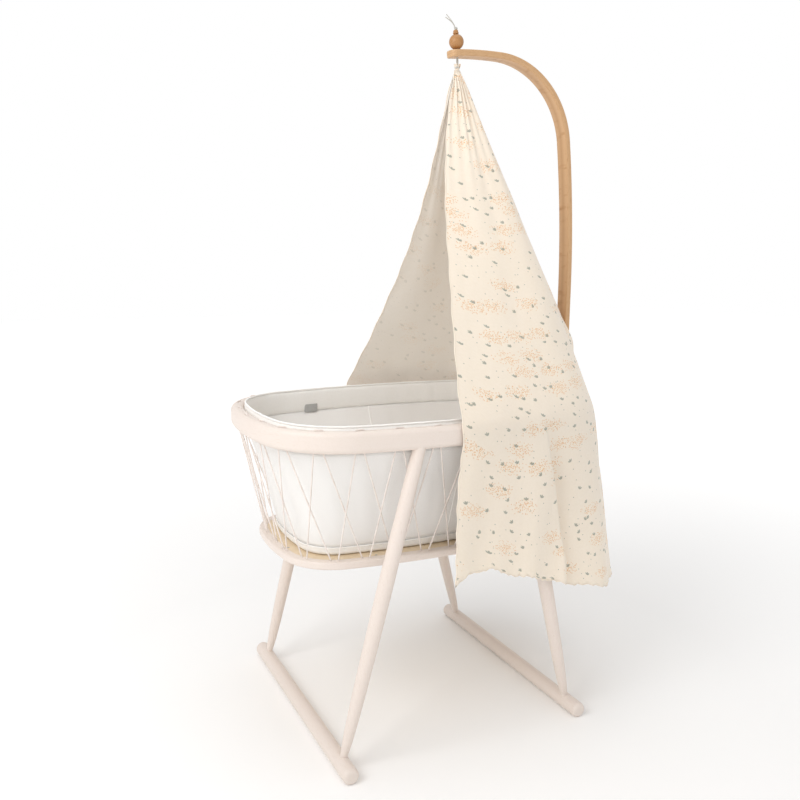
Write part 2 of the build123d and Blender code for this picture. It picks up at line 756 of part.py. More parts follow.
def turned(lift, outline):
    """Turned piece: an outline of (radius, height) curves revolved about the finial's axis."""
    origin = arm_top + arm_normal * lift
    profile = Plane(origin=origin, x_dir=(0, 1, 0), z_dir=Vector(0, 1, 0).cross(arm_normal))
    with BuildPart() as piece:
        with BuildSketch(profile):
            with BuildLine():
                outline()
            make_face()
        revolve(axis=Axis(origin, arm_normal))
    return piece


def collar_outline():
    Polyline(
        (finial_bore / 2, 0),
        (collar_diameter / 2, 0),
        (collar_diameter / 2 - collar_edge, collar_height),
        (finial_bore / 2, collar_height),
        close=True,
    )


def ball_outline():
    radius = ball_diameter / 2
    half_chord = sqrt(radius**2 - (finial_bore / 2) ** 2)
    ThreePointArc((finial_bore / 2, -half_chord), (radius, 0), (finial_bore / 2, half_chord))
    Line((finial_bore / 2, half_chord), (finial_bore / 2, -half_chord))


def bead_outline():
    wide, step = bead_diameter / 2, bead_height / 2
    Line((finial_bore / 2, 0), (wide - bead_round, 0))
    ThreePointArc((wide - bead_round, 0), (wide, step / 2), (wide - bead_round, step))
    ThreePointArc(
        (wide - bead_round, step), (wide - bead_groove, step * 3 / 2), (wide - bead_crown, step * 2)
    )
    Line((wide - bead_crown, step * 2), (finial_bore / 2, step * 2))
    Line((finial_bore / 2, step * 2), (finial_bore / 2, 0))


ball_half_chord = sqrt((ball_diameter / 2) ** 2 - (finial_bore / 2) ** 2)
ball_lift = collar_height + fit_gap + ball_half_chord
bead_lift = ball_lift + ball_half_chord + fit_gap
knot_lift = bead_lift + bead_height + knot_diameter / 2 - knot_seat

finial_collar = turned(0, collar_outline)
finial_collar.part.label = "finial_collar"
export_step(finial_collar.part, "parts/finial_collar.step")

finial_ball = turned(ball_lift, ball_outline)
finial_ball.part.label = "finial_ball"
export_step(finial_ball.part, "parts/finial_ball.step")

finial_bead = turned(bead_lift, bead_outline)
finial_bead.part.label = "finial_bead"
export_step(finial_bead.part, "parts/finial_bead.step")

knot_centre = arm_top + arm_normal * knot_lift
neck_x = arm_under.X
with BuildPart() as canopy_cord:
    with BuildLine() as cord_path:
        FilletPolyline(
            knot_centre,
            arm_under,
            Vector(neck_x, 0, neck_top - neck_height),
            radius=cord_turn,
        )
    with BuildSketch(Plane(origin=knot_centre, z_dir=-arm_normal)):
        Circle(hanging_cord_diameter / 2)
    sweep(path=cord_path.wire())
    with Locations(knot_centre):
        Sphere(knot_diameter / 2)
canopy_cord.part.label = "canopy_cord"
export_step(canopy_cord.part, "parts/canopy_cord.step")

# The two free ends that stand out of the knot.
for name, route_points in tail_routes.items():
    direction = Vector(route_points[1]).normalized()
    start = knot_centre + direction * (knot_diameter / 2 - tail_root)
    points = [start + Vector(point) for point in route_points]
    runs = [(b - a).length for a, b in zip(points, points[1:])]
    bends = []
    for k in (1, 2):
        turn = (points[k] - points[k - 1]).get_angle(points[k + 1] - points[k])
        shorter = min(runs[k - 1], runs[k])
        bends.append(tail_bend_share * shorter / tan(radians(turn / 2)))
    with BuildPart() as tail:
        with BuildLine() as tail_path:
            FilletPolyline(*points, radius=bends)
        with BuildSketch(Plane(origin=start, z_dir=direction)):
            Circle(tail_diameter / 2)
        sweep(path=tail_path.wire())
        with Locations(knot_centre):
            Sphere(knot_diameter / 2, mode=Mode.SUBTRACT)
    tail.part.label = name
    export_step(tail.part, f"parts/{name}.step")

# ---------------------------------------------------------------- canopy
with BuildPart() as canopy_neck:
    with BuildSketch(Plane.XY.offset(neck_top - neck_height)):
        with Locations((neck_x, 0)):
            Circle(neck_diameter / 2)
            Circle(hanging_cord_diameter / 2 + fit_gap, mode=Mode.SUBTRACT)
    extrude(amount=neck_height)
    fillet(canopy_neck.faces().sort_by(Axis.Z)[-1].outer_wire().edges(), neck_edge_radius)
canopy_neck.part.label = "canopy_neck"
export_step(canopy_neck.part, "parts/canopy_neck.step")

# The cloth is a thin shell between plan outlines, each a chain of points from the front edge
# on the near side, round the head end, to the front edge on the far side.
cloth_top = neck_top - neck_height - neck_gap
pole_corner = Vector(pole_outer_x + cloth_over_pole, -(pole_width / 2 + cloth_beside_pole), 0)


def rim_chain(outside):
    """Plan points of the cloth outside the rim, closed round the outside of the pole."""
    chain = []
    for index in near_stations:
        point, normal = station(rim_arcs, index / lace_pairs)
        chain.append(point + normal * (rim_outer + outside))
    chain.append(pole_corner + Vector(max(outside - cloth_over_rim, 0), 0, 0))
    return chain + [Vector(p.X, -p.Y, 0) for p in reversed(chain)]


def cloth_section(chain, height):
    """Thin closed sketch: the chain and its copy moved inwards by the cloth's thickness."""
    inner = []
    last = len(chain) - 1
    for k, point in enumerate(chain):
        along = (chain[min(k + 1, last)] - chain[max(k - 1, 0)]).normalized()
        inner.append(point + Vector(-along.Y, along.X, 0) * cloth_thickness)
    outline = [(p.X, p.Y) for p in chain] + [(p.X, p.Y) for p in reversed(inner)]
    with BuildSketch(Plane.XY.offset(height), mode=Mode.PRIVATE) as section:
        with BuildLine():
            Polyline(*outline, close=True)
        make_face()
    return section.sketch.face()


rim_level = rim_top + cloth_above_rim
over_rim_chain = rim_chain(cloth_over_rim)
hem_chain = rim_chain(cloth_over_rim + cloth_flare)
steps = len(over_rim_chain) - 1
neck_chain = []
for k in range(steps + 1):
    turn = radians(neck_wrap * (k / steps - 1 / 2))
    neck_chain.append(Vector(neck_x + neck_ring * cos(turn), neck_ring * sin(turn), 0))
shoulder_share = (cloth_top - cloth_shoulder) / (cloth_top - rim_level)
shoulder_chain = [a + (b - a) * shoulder_share for a, b in zip(neck_chain, over_rim_chain)]
for k in (len(near_stations), len(near_stations) + 1):
    shoulder_chain[k] = over_rim_chain[k]

with BuildPart() as canopy_cloth:
    for low_chain, low, high_chain, high in (
        (hem_chain, hem_level, over_rim_chain, rim_level),
        (over_rim_chain, rim_level, shoulder_chain, cloth_shoulder),
        (shoulder_chain, cloth_shoulder, neck_chain, cloth_top),
    ):
        loft(sections=[cloth_section(low_chain, low), cloth_section(high_chain, high)], ruled=True)
    # hem line, cut from the side
    with BuildSketch(Plane.XZ):
        with BuildLine():
            Polyline(
                (basket_x - rim_half_length, hem_level - hem_margin),
                (basket_x - rim_half_length, hem_points[0][1]),
                *[(basket_x + x, z) for x, z in hem_points],
                (basket_x + hem_points[-1][0], hem_level - hem_margin),
                close=True,
            )
        make_face()
    extrude(amount=rim_half_width * 2, both=True, mode=Mode.SUBTRACT)
    # slit through which the pole passes
    with BuildSketch(Plane.XY.offset(slit_bottom)):
        with Locations((pole_upright_x, 0)):
            Rectangle(slit_cut, pole_width + 2 * slit_gap)
    extrude(amount=slit_top - slit_bottom, mode=Mode.SUBTRACT)
canopy_cloth.part.label = "canopy_cloth"
export_step(canopy_cloth.part, "parts/canopy_cloth.step")
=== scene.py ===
from math import atan2, cos, hypot, pi, radians, sin, sqrt

import bmesh
import bpy
import numpy as np
from mathutils import Matrix, Vector, noise


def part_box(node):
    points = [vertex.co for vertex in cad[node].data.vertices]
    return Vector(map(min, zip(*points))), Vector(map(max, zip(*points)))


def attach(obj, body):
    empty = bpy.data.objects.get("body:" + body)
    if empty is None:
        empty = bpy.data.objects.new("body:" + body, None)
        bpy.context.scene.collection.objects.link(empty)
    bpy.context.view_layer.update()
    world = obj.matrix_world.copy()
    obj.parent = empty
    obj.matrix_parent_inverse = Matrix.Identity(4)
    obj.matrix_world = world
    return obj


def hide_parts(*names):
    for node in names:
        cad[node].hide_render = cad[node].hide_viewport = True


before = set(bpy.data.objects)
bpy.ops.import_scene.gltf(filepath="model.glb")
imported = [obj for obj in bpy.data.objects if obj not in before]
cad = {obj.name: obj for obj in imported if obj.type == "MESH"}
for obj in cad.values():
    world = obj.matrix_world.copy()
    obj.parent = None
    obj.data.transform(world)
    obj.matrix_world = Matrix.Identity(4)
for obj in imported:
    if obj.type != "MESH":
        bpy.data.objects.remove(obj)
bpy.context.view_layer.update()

# ------------------------------------------------------------------ studio
# A white paper floor under three soft lamps, the strongest at the foot end's near side and
# weaker ones in front and above, in an even white surround. The camera is at the foot end too.
camera_place = Vector((-0.9502, -1.7726, 1.1114))
camera_yaw = radians(26.4)      # from +Y towards +X
camera_pitch = radians(9.8)     # downwards
camera_roll = radians(0.5)
lens_mm = 36.27
sensor_mm = 36.0

look = Vector(
    (
        sin(camera_yaw) * cos(camera_pitch),
        cos(camera_yaw) * cos(camera_pitch),
        -sin(camera_pitch),
    )
)
level_right = Vector((cos(camera_yaw), -sin(camera_yaw), 0))
level_up = level_right.cross(look)
right = cos(camera_roll) * level_right + sin(camera_roll) * level_up
up = cos(camera_roll) * level_up - sin(camera_roll) * level_right


def add_to_scene(name, data):
    """New object that shows the data."""
    made = bpy.data.objects.new(name, data)
    bpy.context.scene.collection.objects.link(made)
    return made


camera_data = bpy.data.cameras.new("camera")
camera_data.lens = lens_mm
camera_data.sensor_width = sensor_mm
camera = add_to_scene("camera", camera_data)
camera.matrix_world = Matrix(
    (
        (right.x, up.x, -look.x, camera_place.x),
        (right.y, up.y, -look.y, camera_place.y),
        (right.z, up.z, -look.z, camera_place.z),
        (0, 0, 0, 1),
    )
)
bpy.context.scene.camera = camera
bpy.context.scene.view_settings.view_transform = "Standard"


def tone(code):
    """Linear colour of a printed colour code such as 'F0E6DC'."""
    shares = [int(code[k : k + 2], 16) / 255 for k in (0, 2, 4)]
    return tuple(s / 12.92 if s < 0.04045 else ((s + 0.055) / 1.055) ** 2.4 for s in shares) + (1.0,)


def add_node(tree, kind, values=None, **settings):
    """New shader node. values maps an input's name or number to a constant or to a socket."""
    made = tree.nodes.new(kind)
    for name, value in settings.items():
        setattr(made, name, value)
    for name, value in (values or {}).items():
        socket = made.inputs[name]
        if isinstance(value, bpy.types.NodeSocket):
            tree.links.new(value, socket)
        else:
            socket.default_value = value
    return made


def colour_between(tree, share, first, second):
    """Colour socket that goes from the first colour to the second as the share rises."""
    values = {"Factor": share, "A": first, "B": second}
    return add_node(tree, "ShaderNodeMix", values, data_type="RGBA").outputs["Result"]


def ranged(tree, value, start, end, low=0.0, high=1.0):
    """Value socket mapped from start..end to low..high, and held at the ends."""
    values = {"Value": value, "From Min": start, "From Max": end, "To Min": low, "To Max": high}
    return add_node(tree, "ShaderNodeMapRange", values).outputs["Result"]


def sums(tree, operation, *values, clamp=False):
    """Value socket of one arithmetic step on constants or sockets."""
    return add_node(
        tree, "ShaderNodeMath", dict(enumerate(values)), operation=operation, use_clamp=clamp
    ).outputs[0]


def relief(tree, height, strength, depth):
    """Normal socket for a surface that rises and falls by the depth in metres."""
    values = {"Height": height, "Strength": strength, "Distance": depth}
    return add_node(tree, "ShaderNodeBump", values).outputs["Normal"]


def feed(tree, shader, **sources):
    """Link sockets to the shader's inputs, such as Base_Color."""
    for name, source in sources.items():
        tree.links.new(source, shader.inputs[name.replace("_", " ")])


def new_material(name, **constants):
    """Material with one Principled shader. Returns the material, its tree and the shader."""
    made = bpy.data.materials.new(name)
    made.use_nodes = True
    shader = made.node_tree.nodes["Principled BSDF"]
    for socket, value in constants.items():
        shader.inputs[socket.replace("_", " ")].default_value = value
    return made, made.node_tree, shader


def mesh_piece(name, points, faces, material, uv=None):
    """Smooth-shaded mesh object. uv gives one (u, v) for each point."""
    data = bpy.data.meshes.new(name)
    data.from_pydata([tuple(p) for p in points], [], [tuple(f) for f in faces])
    data.polygons.foreach_set("use_smooth", [True] * len(data.polygons))
    if uv is not None:
        layer = data.uv_layers.new(name="cut")
        corners = np.zeros(len(data.loops), int)
        data.loops.foreach_get("vertex_index", corners)
        layer.data.foreach_set("uv", np.asarray(uv, float)[corners].ravel())
    data.materials.append(material)
    data.validate()
    return add_to_scene(name, data)


floor_paint, floor_tree, floor_shader = new_material(
    "floor_paper", Base_Color=tone("FFFFFF"), Roughness=0.85, Specular_IOR_Level=0.1,
    Emission_Color=(1, 1, 1, 1),
)
floor_place = add_node(floor_tree, "ShaderNodeTexCoord")
floor_reach = add_node(
    floor_tree, "ShaderNodeVectorMath", {0: floor_place.outputs["Object"]}, operation="LENGTH"
)
glow_from, glow_to, glow_strength = 0.9, 3.2, 0.3      # the paper fades out to white
far_glow = ranged(floor_tree, floor_reach.outputs["Value"], glow_from, glow_to, 0.0, glow_strength)
speckle = add_node(floor_tree, "ShaderNodeTexNoise", {"Scale": 3.0, "Detail": 4.0})
paper = colour_between(floor_tree, speckle.outputs["Fac"], tone("FDFCFB"), tone("FFFFFF"))
feed(floor_tree, floor_shader, Base_Color=paper, Emission_Strength=far_glow)
floor_half = 14.0
floor = mesh_piece(
    "studio_floor",
    [(-floor_half, -floor_half, 0), (floor_half, -floor_half, 0),
     (floor_half, floor_half, 0), (-floor_half, floor_half, 0)],
    [(0, 1, 2, 3)],
    floor_paint,
)

for name, place, aim, size, power in (
    ("front_lamp", (-0.9, -3.4, 2.6), (0.0, 0.0, 0.9), 2.0, 9.0),
    ("foot_lamp", (-2.5, -0.9, 2.6), (0.1, 0.1, 0.8), 1.8, 40.0),
    ("top_lamp", (0.2, 0.2, 4.2), (0.0, 0.0, 0.6), 2.6, 18.0),
):
    lamp_data = bpy.data.lights.new(name, "AREA")
    lamp_data.size = size
    lamp_data.energy = power
    lamp = add_to_scene(name, lamp_data)
    lamp.location = place
    lamp.rotation_euler = (Vector(aim) - Vector(place)).to_track_quat("-Z", "Y").to_euler()

surround = bpy.data.worlds.new("surround")
surround.use_nodes = True
sky_tree = surround.node_tree
seen = add_node(sky_tree, "ShaderNodeLightPath")
light_given, light_seen = 0.72, 1.0
sky = sky_tree.nodes["Background"]
sky.inputs["Color"].default_value = (1.0, 1.0, 1.0, 1.0)
feed(sky_tree, sky, Strength=ranged(sky_tree, seen.outputs["Is Camera Ray"], 0, 1, light_given, light_seen))
bpy.context.scene.world = surround

# ------------------------------------------------------------------ washed wood: rim, ring, legs, rails
# The rim and ring are steam-bent ash, the legs and rails turned ash, all under a thin pinkish
# white wash and satin lacquer. The legs' tenons are glued into the rim and their feet screwed.
pale_wash = tone("E7DBD2")
wash_in_grain = tone("DCCCBF")
streaks_per_metre = (3.0, 90.0, 90.0)       # along and across the grain
pores_per_metre = (60.0, 900.0, 900.0)
satin_roughness = 0.40


def node_group(name, inputs, outputs):
    """New node group. inputs and outputs map a socket's name to its kind. Returns its two ends."""
    group = bpy.data.node_groups.new(name, "ShaderNodeTree")
    for side, sockets in (("INPUT", inputs), ("OUTPUT", outputs)):
        for label, kind in sockets.items():
            group.interface.new_socket(label, in_out=side, socket_type="NodeSocket" + kind)
    return group, add_node(group, "NodeGroupInput"), add_node(group, "NodeGroupOutput")


def stretched_noise(group, vector, stretch, **values):
    """Noise that is drawn out by a different amount along each axis."""
    space = add_node(group, "ShaderNodeVectorMath", {0: vector, 1: stretch}, operation="MULTIPLY")
    values = {"Vector": space.outputs[0], "Scale": 1.0, **values}
    return add_node(group, "ShaderNodeTexNoise", values).outputs["Fac"]


def grain_group():
    """Wood figure: long soft streaks and fine pores, with X of Vector running along the grain."""
    group, entry, leave = node_group(
        "wood_figure",
        {"Vector": "Vector", "Pale": "Color", "Dark": "Color", "Contrast": "Float", "Gloss spread": "Float"},
        {"Colour": "Color", "Height": "Float", "Roughness": "Float"},
    )
    along = entry.outputs["Vector"]
    streaks = stretched_noise(group, along, streaks_per_metre, Detail=5.0, Roughness=0.6, Distortion=0.4)
    pores = stretched_noise(group, along, pores_per_metre, Detail=2.0, Roughness=0.5)
    both = sums(group, "MULTIPLY_ADD", streaks, 0.35, ranged(group, pores, 0.55, 0.75))
    share = sums(group, "MULTIPLY", both, entry.outputs["Contrast"], clamp=True)
    colour = colour_between(group, share, entry.outputs["Pale"], entry.outputs["Dark"])
    rough = sums(group, "MULTIPLY_ADD", streaks, entry.outputs["Gloss spread"], satin_roughness)
    feed(group, leave, Colour=colour, Height=sums(group, "SUBTRACT", 1.0, both), Roughness=rough)
    return group


wood_figure = grain_group()


def wood_material(name, pale, dark, contrast, direction, bump=0.15, coat=0.12):
    """Lacquered wood. direction is 'round' the basket, 'x', 'y', 'z', or 'uv' with U along it."""
    made, tree, shader = new_material(name, Coat_Weight=coat, Coat_Roughness=0.35)
    place = add_node(tree, "ShaderNodeTexCoord")
    if direction == "uv":
        along = place.outputs["UV"]
    else:
        apart = add_node(tree, "ShaderNodeSeparateXYZ", {0: place.outputs["Object"]})
        x, y, z = (apart.outputs[k] for k in range(3))
        if direction == "round":
            basket_radius = 0.36
            arc = sums(tree, "MULTIPLY", sums(tree, "ARCTAN2", y, x), basket_radius)
            flat = add_node(tree, "ShaderNodeCombineXYZ", {0: x, 1: y, 2: 0.0})
            reach = add_node(tree, "ShaderNodeVectorMath", {0: flat.outputs[0]}, operation="LENGTH")
            order = (arc, reach.outputs["Value"], z)
        else:
            order = {"x": (x, y, z), "y": (y, x, z), "z": (z, x, y)}[direction]
        along = add_node(tree, "ShaderNodeCombineXYZ", dict(enumerate(order))).outputs[0]
    values = {"Vector": along, "Pale": pale, "Dark": dark, "Contrast": contrast, "Gloss spread": 0.16}
    figure = add_node(tree, "ShaderNodeGroup", values, node_tree=wood_figure).outputs
    normal = relief(tree, figure["Height"], bump, 0.0004)
    feed(tree, shader, Base_Color=figure["Colour"], Roughness=figure["Roughness"], Normal=normal)
    return made


def finish_node(node_name, material):
    """Give a carried-over piece its finish."""
    slots = cad[node_name].data.materials
    if len(slots) == 0:
        slots.append(material)
    for k in range(len(slots)):
        slots[k] = material


washed_round = wood_material("washed_ash_bent", pale_wash, wash_in_grain, 0.7, "round")
washed_legs = wood_material("washed_ash_legs", pale_wash, wash_in_grain, 0.7, "z")
washed_rails = wood_material("washed_ash_rails", pale_wash, wash_in_grain, 0.7, "y")
base_ply = wood_material("base_plywood", tone("E6D2B4"), tone("CDB28C"), 0.8, "x")
for node_name in ("top_rim", "bottom_ring", "pole_block"):
    finish_node(node_name, washed_round)
for node_name in ("leg_foot_near", "leg_foot_far", "leg_head_near", "leg_head_far"):
    finish_node(node_name, washed_legs)
for node_name in ("rail_foot_end", "rail_head_end"):
    finish_node(node_name, washed_rails)
finish_node("base_panel", base_ply)

# ------------------------------------------------------------------ fasteners
# Zinc-plated screws, bolts and nuts, and brass inserts in the legs' feet. All are bought parts
# seated in the wood, so only their heads and sockets show.


def metal_material(name, colour, roughness):
    """Plated or plain metal with fine marks that dull it here and there."""
    made, tree, shader = new_material(name, Metallic=1.0)
    place = add_node(tree, "ShaderNodeTexCoord")
    marks = add_node(
        tree, "ShaderNodeTexNoise",
        {"Vector": place.outputs["Object"], "Scale": 420.0, "Detail": 3.0},
    )
    fine = marks.outputs["Fac"]
    tint = colour_between(tree, fine, colour, tuple(c * 0.8 for c in colour[:3]) + (1,))
    rough = sums(tree, "MULTIPLY_ADD", fine, 0.2, roughness)
    feed(tree, shader, Base_Color=tint, Roughness=rough, Normal=relief(tree, fine, 0.1, 0.0002))
    return made


zinc_steel = metal_material("zinc_plated_steel", tone("B9BBBD"), 0.30)
plain_brass = metal_material("plain_brass", tone("C8A860"), 0.28)
for node_name in ("base_screws", "rail_screws", "pole_nuts", "pole_bolts"):
    finish_node(node_name, zinc_steel)
finish_node("leg_inserts", plain_brass)

# ------------------------------------------------------------------ canopy pole
# One beech bow, laminated from thin strips and bent over a former, sanded round at the arm's
# end. It stands outside the rim on a spacer block and is held by two bolts.
basket_x = (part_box("top_rim")[0].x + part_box("top_rim")[1].x) / 2
pole_low, pole_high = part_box("canopy_pole")
pole_thickness = 0.015
pole_half_width = pole_high.y
strips = 5
shoulder_radius = 0.2125        # all radii are on the bow's middle line
shoulder_turn = radians(83.0)
bow_radius = 3.1925
arm_radius = 1.0925
arm_length = 0.136
arm_turn = arm_length / arm_radius
pole_edge = 0.0025              # rounding of the section's corners
upright_x = pole_high.x - pole_thickness / 2
bow_turn = pi / 2 - shoulder_turn
crown = Vector(
    (
        upright_x - bow_radius * (1 - cos(bow_turn)) - shoulder_radius * sin(shoulder_turn),
        pole_high.z - pole_thickness / 2,
    )
)


def pole_line(spacing):
    """Middle line of the bow from the arm's tip to the foot, with the tangent at each point."""
    line = []
    for k in range(round(arm_length / spacing) + 1):
        a = arm_turn * (1 - k * spacing / arm_length)
        line.append((crown.x - arm_radius * sin(a), crown.y - arm_radius * (1 - cos(a)), a, -1))
    count = round(shoulder_radius * shoulder_turn / spacing)
    for k in range(1, count + 1):
        a = shoulder_turn * k / count
        line.append(
            (crown.x + shoulder_radius * sin(a), crown.y - shoulder_radius * (1 - cos(a)), a, 1)
        )
    low_z = line[-1][1] - bow_radius * sin(bow_turn)
    count = round(bow_radius * bow_turn / spacing)
    for k in range(1, count + 1):
        a = bow_turn * (1 - k / count)
        line.append(
            (upright_x - bow_radius * (1 - cos(a)), low_z + bow_radius * sin(a), pi / 2 - a, 1)
        )
    count = round((low_z - pole_low.z) / spacing)
    for k in range(1, count + 1):
        line.append((upright_x, low_z + (pole_low.z - low_z) * k / count, pi / 2, 1))
    points = np.array([(x, z) for x, z, _, _ in line])
    tangents = np.array([(cos(a), -sin(a) * side) for _, _, a, side in line])
    return points, tangents


def rounded_rectangle(half_width, half_height, radius, corner_steps=4):
    """Outline points of a rectangle with rounded corners, counterclockwise."""
    outline = []
    for k, (sx, sy) in enumerate(((1, 1), (-1, 1), (-1, -1), (1, -1))):
        for step in range(corner_steps + 1):
            a = pi / 2 * (k + step / corner_steps)
            across, upward = radius * cos(a), radius * sin(a)
            outline.append((sx * (half_width - radius) + across, sy * (half_height - radius) + upward))
    return outline


line, tangents = pole_line(0.006)
tip_round = 0.012
tip_rows = 9
# close rows at the rounded tip, so that its corners are smooth
tip_steps = [tip_round * (1 - cos(pi / 2 * k / tip_rows)) for k in range(tip_rows)]
tip_point, tip_tangent = line[0], tangents[0]
rows = [(tip_point + tip_tangent * s, tip_tangent, s) for s in tip_steps]
travelled = 0.0
for k in range(1, len(line)):
    travelled += float(np.linalg.norm(line[k] - line[k - 1]))
    if travelled > tip_round:
        rows.append((line[k], tangents[k], travelled))
pole_points, pole_uv, pole_faces = [], [], []
for middle, tangent, s in rows:
    narrow = tip_round - sqrt(max(tip_round**2 - (tip_round - min(s, tip_round)) ** 2, 0.0))
    half_width = pole_half_width - narrow
    outward = np.array((-tangent[1], tangent[0]))
    for across, sideways in rounded_rectangle(pole_thickness / 2, half_width, pole_edge):
        spot = middle + outward * across
        pole_points.append((spot[0], sideways, spot[1]))
        pole_uv.append((s, across + sideways * 0.02))
ring_size = len(pole_points) // len(rows)
for r in range(len(rows) - 1):
    for k in range(ring_size):
        a, b = r * ring_size + k, r * ring_size + (k + 1) % ring_size
        pole_faces.append((a, b, b + ring_size, a + ring_size))
pole_faces.append(tuple(reversed(range(ring_size))))
pole_faces.append(tuple(range(len(pole_points) - ring_size, len(pole_points))))

beech_light = tone("D3AC81")
beech_dark = tone("B48553")
laminated_beech = wood_material("laminated_beech", beech_light, beech_dark, 0.85, "uv", 0.2, 0.2)
tree = laminated_beech.node_tree
shader = tree.nodes["Principled BSDF"]
plain_colour = shader.inputs["Base Color"].links[0].from_socket
place = add_node(tree, "ShaderNodeTexCoord")
parts_uv = add_node(tree, "ShaderNodeSeparateXYZ", {0: place.outputs["UV"]})
strip_place = sums(tree, "MULTIPLY_ADD", parts_uv.outputs[1], strips / pole_thickness, 0.5 * strips)
glue = ranged(tree, sums(tree, "PINGPONG", strip_place, 0.5), 0.0, 0.07, 0.4, 0.0)
strip_number = sums(tree, "FLOOR", strip_place)
strip_tint = add_node(tree, "ShaderNodeTexWhiteNoise", {"W": strip_number}, noise_dimensions="1D")
tint_share = sums(tree, "MULTIPLY_ADD", strip_tint.outputs["Value"], 0.18, glue)
feed(tree, shader, Base_Color=colour_between(tree, tint_share, plain_colour, tone("A87845")))

pole = mesh_piece("pole_bow", pole_points, pole_faces, laminated_beech, pole_uv)
for polygon in pole.data.polygons:
    polygon.use_smooth = len(polygon.vertices) == 4
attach(pole, "stand")
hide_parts("canopy_pole")

# ------------------------------------------------------------------ finial
# A turned collar, ball and bead of oiled beech threaded on the hanging cord, which is knotted
# above the bead. The grain runs up the pieces.
turned_beech = wood_material("turned_beech", tone("B88651"), tone("966536"), 1.0, "z", 0.2, 0.25)
for node_name in ("finial_collar", "finial_ball", "finial_bead"):
    finish_node(node_name, turned_beech)

# ------------------------------------------------------------------ hanging cord
# A braided cotton cord from the gathered cloth up through the arm and the finial, tied in one
# knot above the bead, with two short free ends standing out of the knot.


def cord_material(name, colour, dark):
    """Cotton cord: fine fibres and softer blotches between two tones."""
    made, tree, shader = new_material(name, Roughness=0.9, Sheen_Weight=0.3)
    place = add_node(tree, "ShaderNodeTexCoord")
    fibres = add_node(
        tree, "ShaderNodeTexNoise",
        {"Vector": place.outputs["Object"], "Scale": 1500.0, "Detail": 3.0},
    )
    blotches = add_node(
        tree, "ShaderNodeTexNoise", {"Vector": place.outputs["Object"], "Scale": 45.0, "Detail": 2.0},
    )
    share = sums(tree, "MULTIPLY", fibres.outputs["Fac"], blotches.outputs["Fac"])
    tones = colour_between(tree, ranged(tree, share, 0.1, 0.4), dark, colour)
    feed(tree, shader, Base_Color=tones, Normal=relief(tree, fibres.outputs["Fac"], 0.4, 0.0004))
    return made


def frames_along(path, closed):
    """Tangent, side and normal at each point of a path, carried along without twist."""
    path = np.asarray(path, float)
    ahead = np.roll(path, -1, 0) if closed else np.vstack((path[1:], 2 * path[-1] - path[-2]))
    back = np.roll(path, 1, 0) if closed else np.vstack((2 * path[0] - path[1], path[:-1]))
    tangent = ahead - back
    tangent /= np.linalg.norm(tangent, axis=1)[:, None]
    side = np.cross(tangent[0], (0.0, 0.0, 1.0))
    if np.linalg.norm(side) < 1e-3:
        side = np.cross(tangent[0], (0.0, 1.0, 0.0))
    sides = []
    for direction in tangent:
        side = side - direction * np.dot(side, direction)
        side /= np.linalg.norm(side)
        sides.append(side)
    sides = np.array(sides)
    return tangent, sides, np.cross(tangent, sides)


def strand_tube(name, path, radius, material, lobes=0, pitch=0.012, lobe_depth=0.0, around=9,
                closed=False):
    """Mesh tube on a path. Lobes make it a rope of that many strands, laid with the pitch."""
    path = np.asarray(path, float)
    tangent, sides, normals = frames_along(path, closed)
    steps = np.linalg.norm(np.diff(path, axis=0), axis=1)
    travel = np.concatenate(([0.0], np.cumsum(steps)))
    points, faces = [], []
    for k, spot in enumerate(path):
        for j in range(around):
            a = 2 * pi * j / around
            lift = 1.0
            if lobes:
                lift += lobe_depth * cos(lobes * (a - 2 * pi * travel[k] / pitch / lobes))
            points.append(spot + (sides[k] * cos(a) + normals[k] * sin(a)) * radius * lift)
    count = len(path)
    for k in range(count if closed else count - 1):
        for j in range(around):
            a, b = k * around + j, k * around + (j + 1) % around
            c, d = ((k + 1) % count) * around + j, ((k + 1) % count) * around + (j + 1) % around
            faces.append((a, c, d, b))
    if not closed:
        for row, spin, outward in ((0, 1, -tangent[0]), (count - 1, -1, tangent[-1])):
            points.append(path[row] + outward * (radius * 0.6))
            tip = len(points) - 1
            for j in range(around):
                a, b = row * around + j, row * around + (j + 1) % around
                faces.append((a, b, tip) if spin == 1 else (b, a, tip))
    return mesh_piece(name, points, faces, material)


grey_cotton = cord_material("grey_braided_cotton", tone("E2DFD8"), tone("A9A59C"))
cord_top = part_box("canopy_cord")[1].z
bead_low, bead_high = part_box("finial_bead")
neck_low, neck_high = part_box("canopy_neck")
neck_centre = (neck_low + neck_high) / 2
cord_radius, tail_radius = 0.0025, 0.0012
bead_top = Vector(((bead_low.x + bead_high.x) / 2, 0, bead_high.z))
ball_low, ball_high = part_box("finial_ball")
ball_centre = (ball_low + ball_high) / 2
finial_axis = (bead_top - ball_centre).normalized()
knot_radius = 0.0045
knot_centre = ball_centre + finial_axis * (cord_top - knot_radius - ball_centre.z) / finial_axis.z
# the free ends' routes from the knot, in millimetres
tails = {
    "cord_tail_front": [(0, 0, 0), (-8, -3, 7), (-18, -4, 13), (-28, -3, 17)],
    "cord_tail_back": [(0, 0, 0), (-4, 3, 9), (-11, 5, 18), (-21, 5, 26)],
}

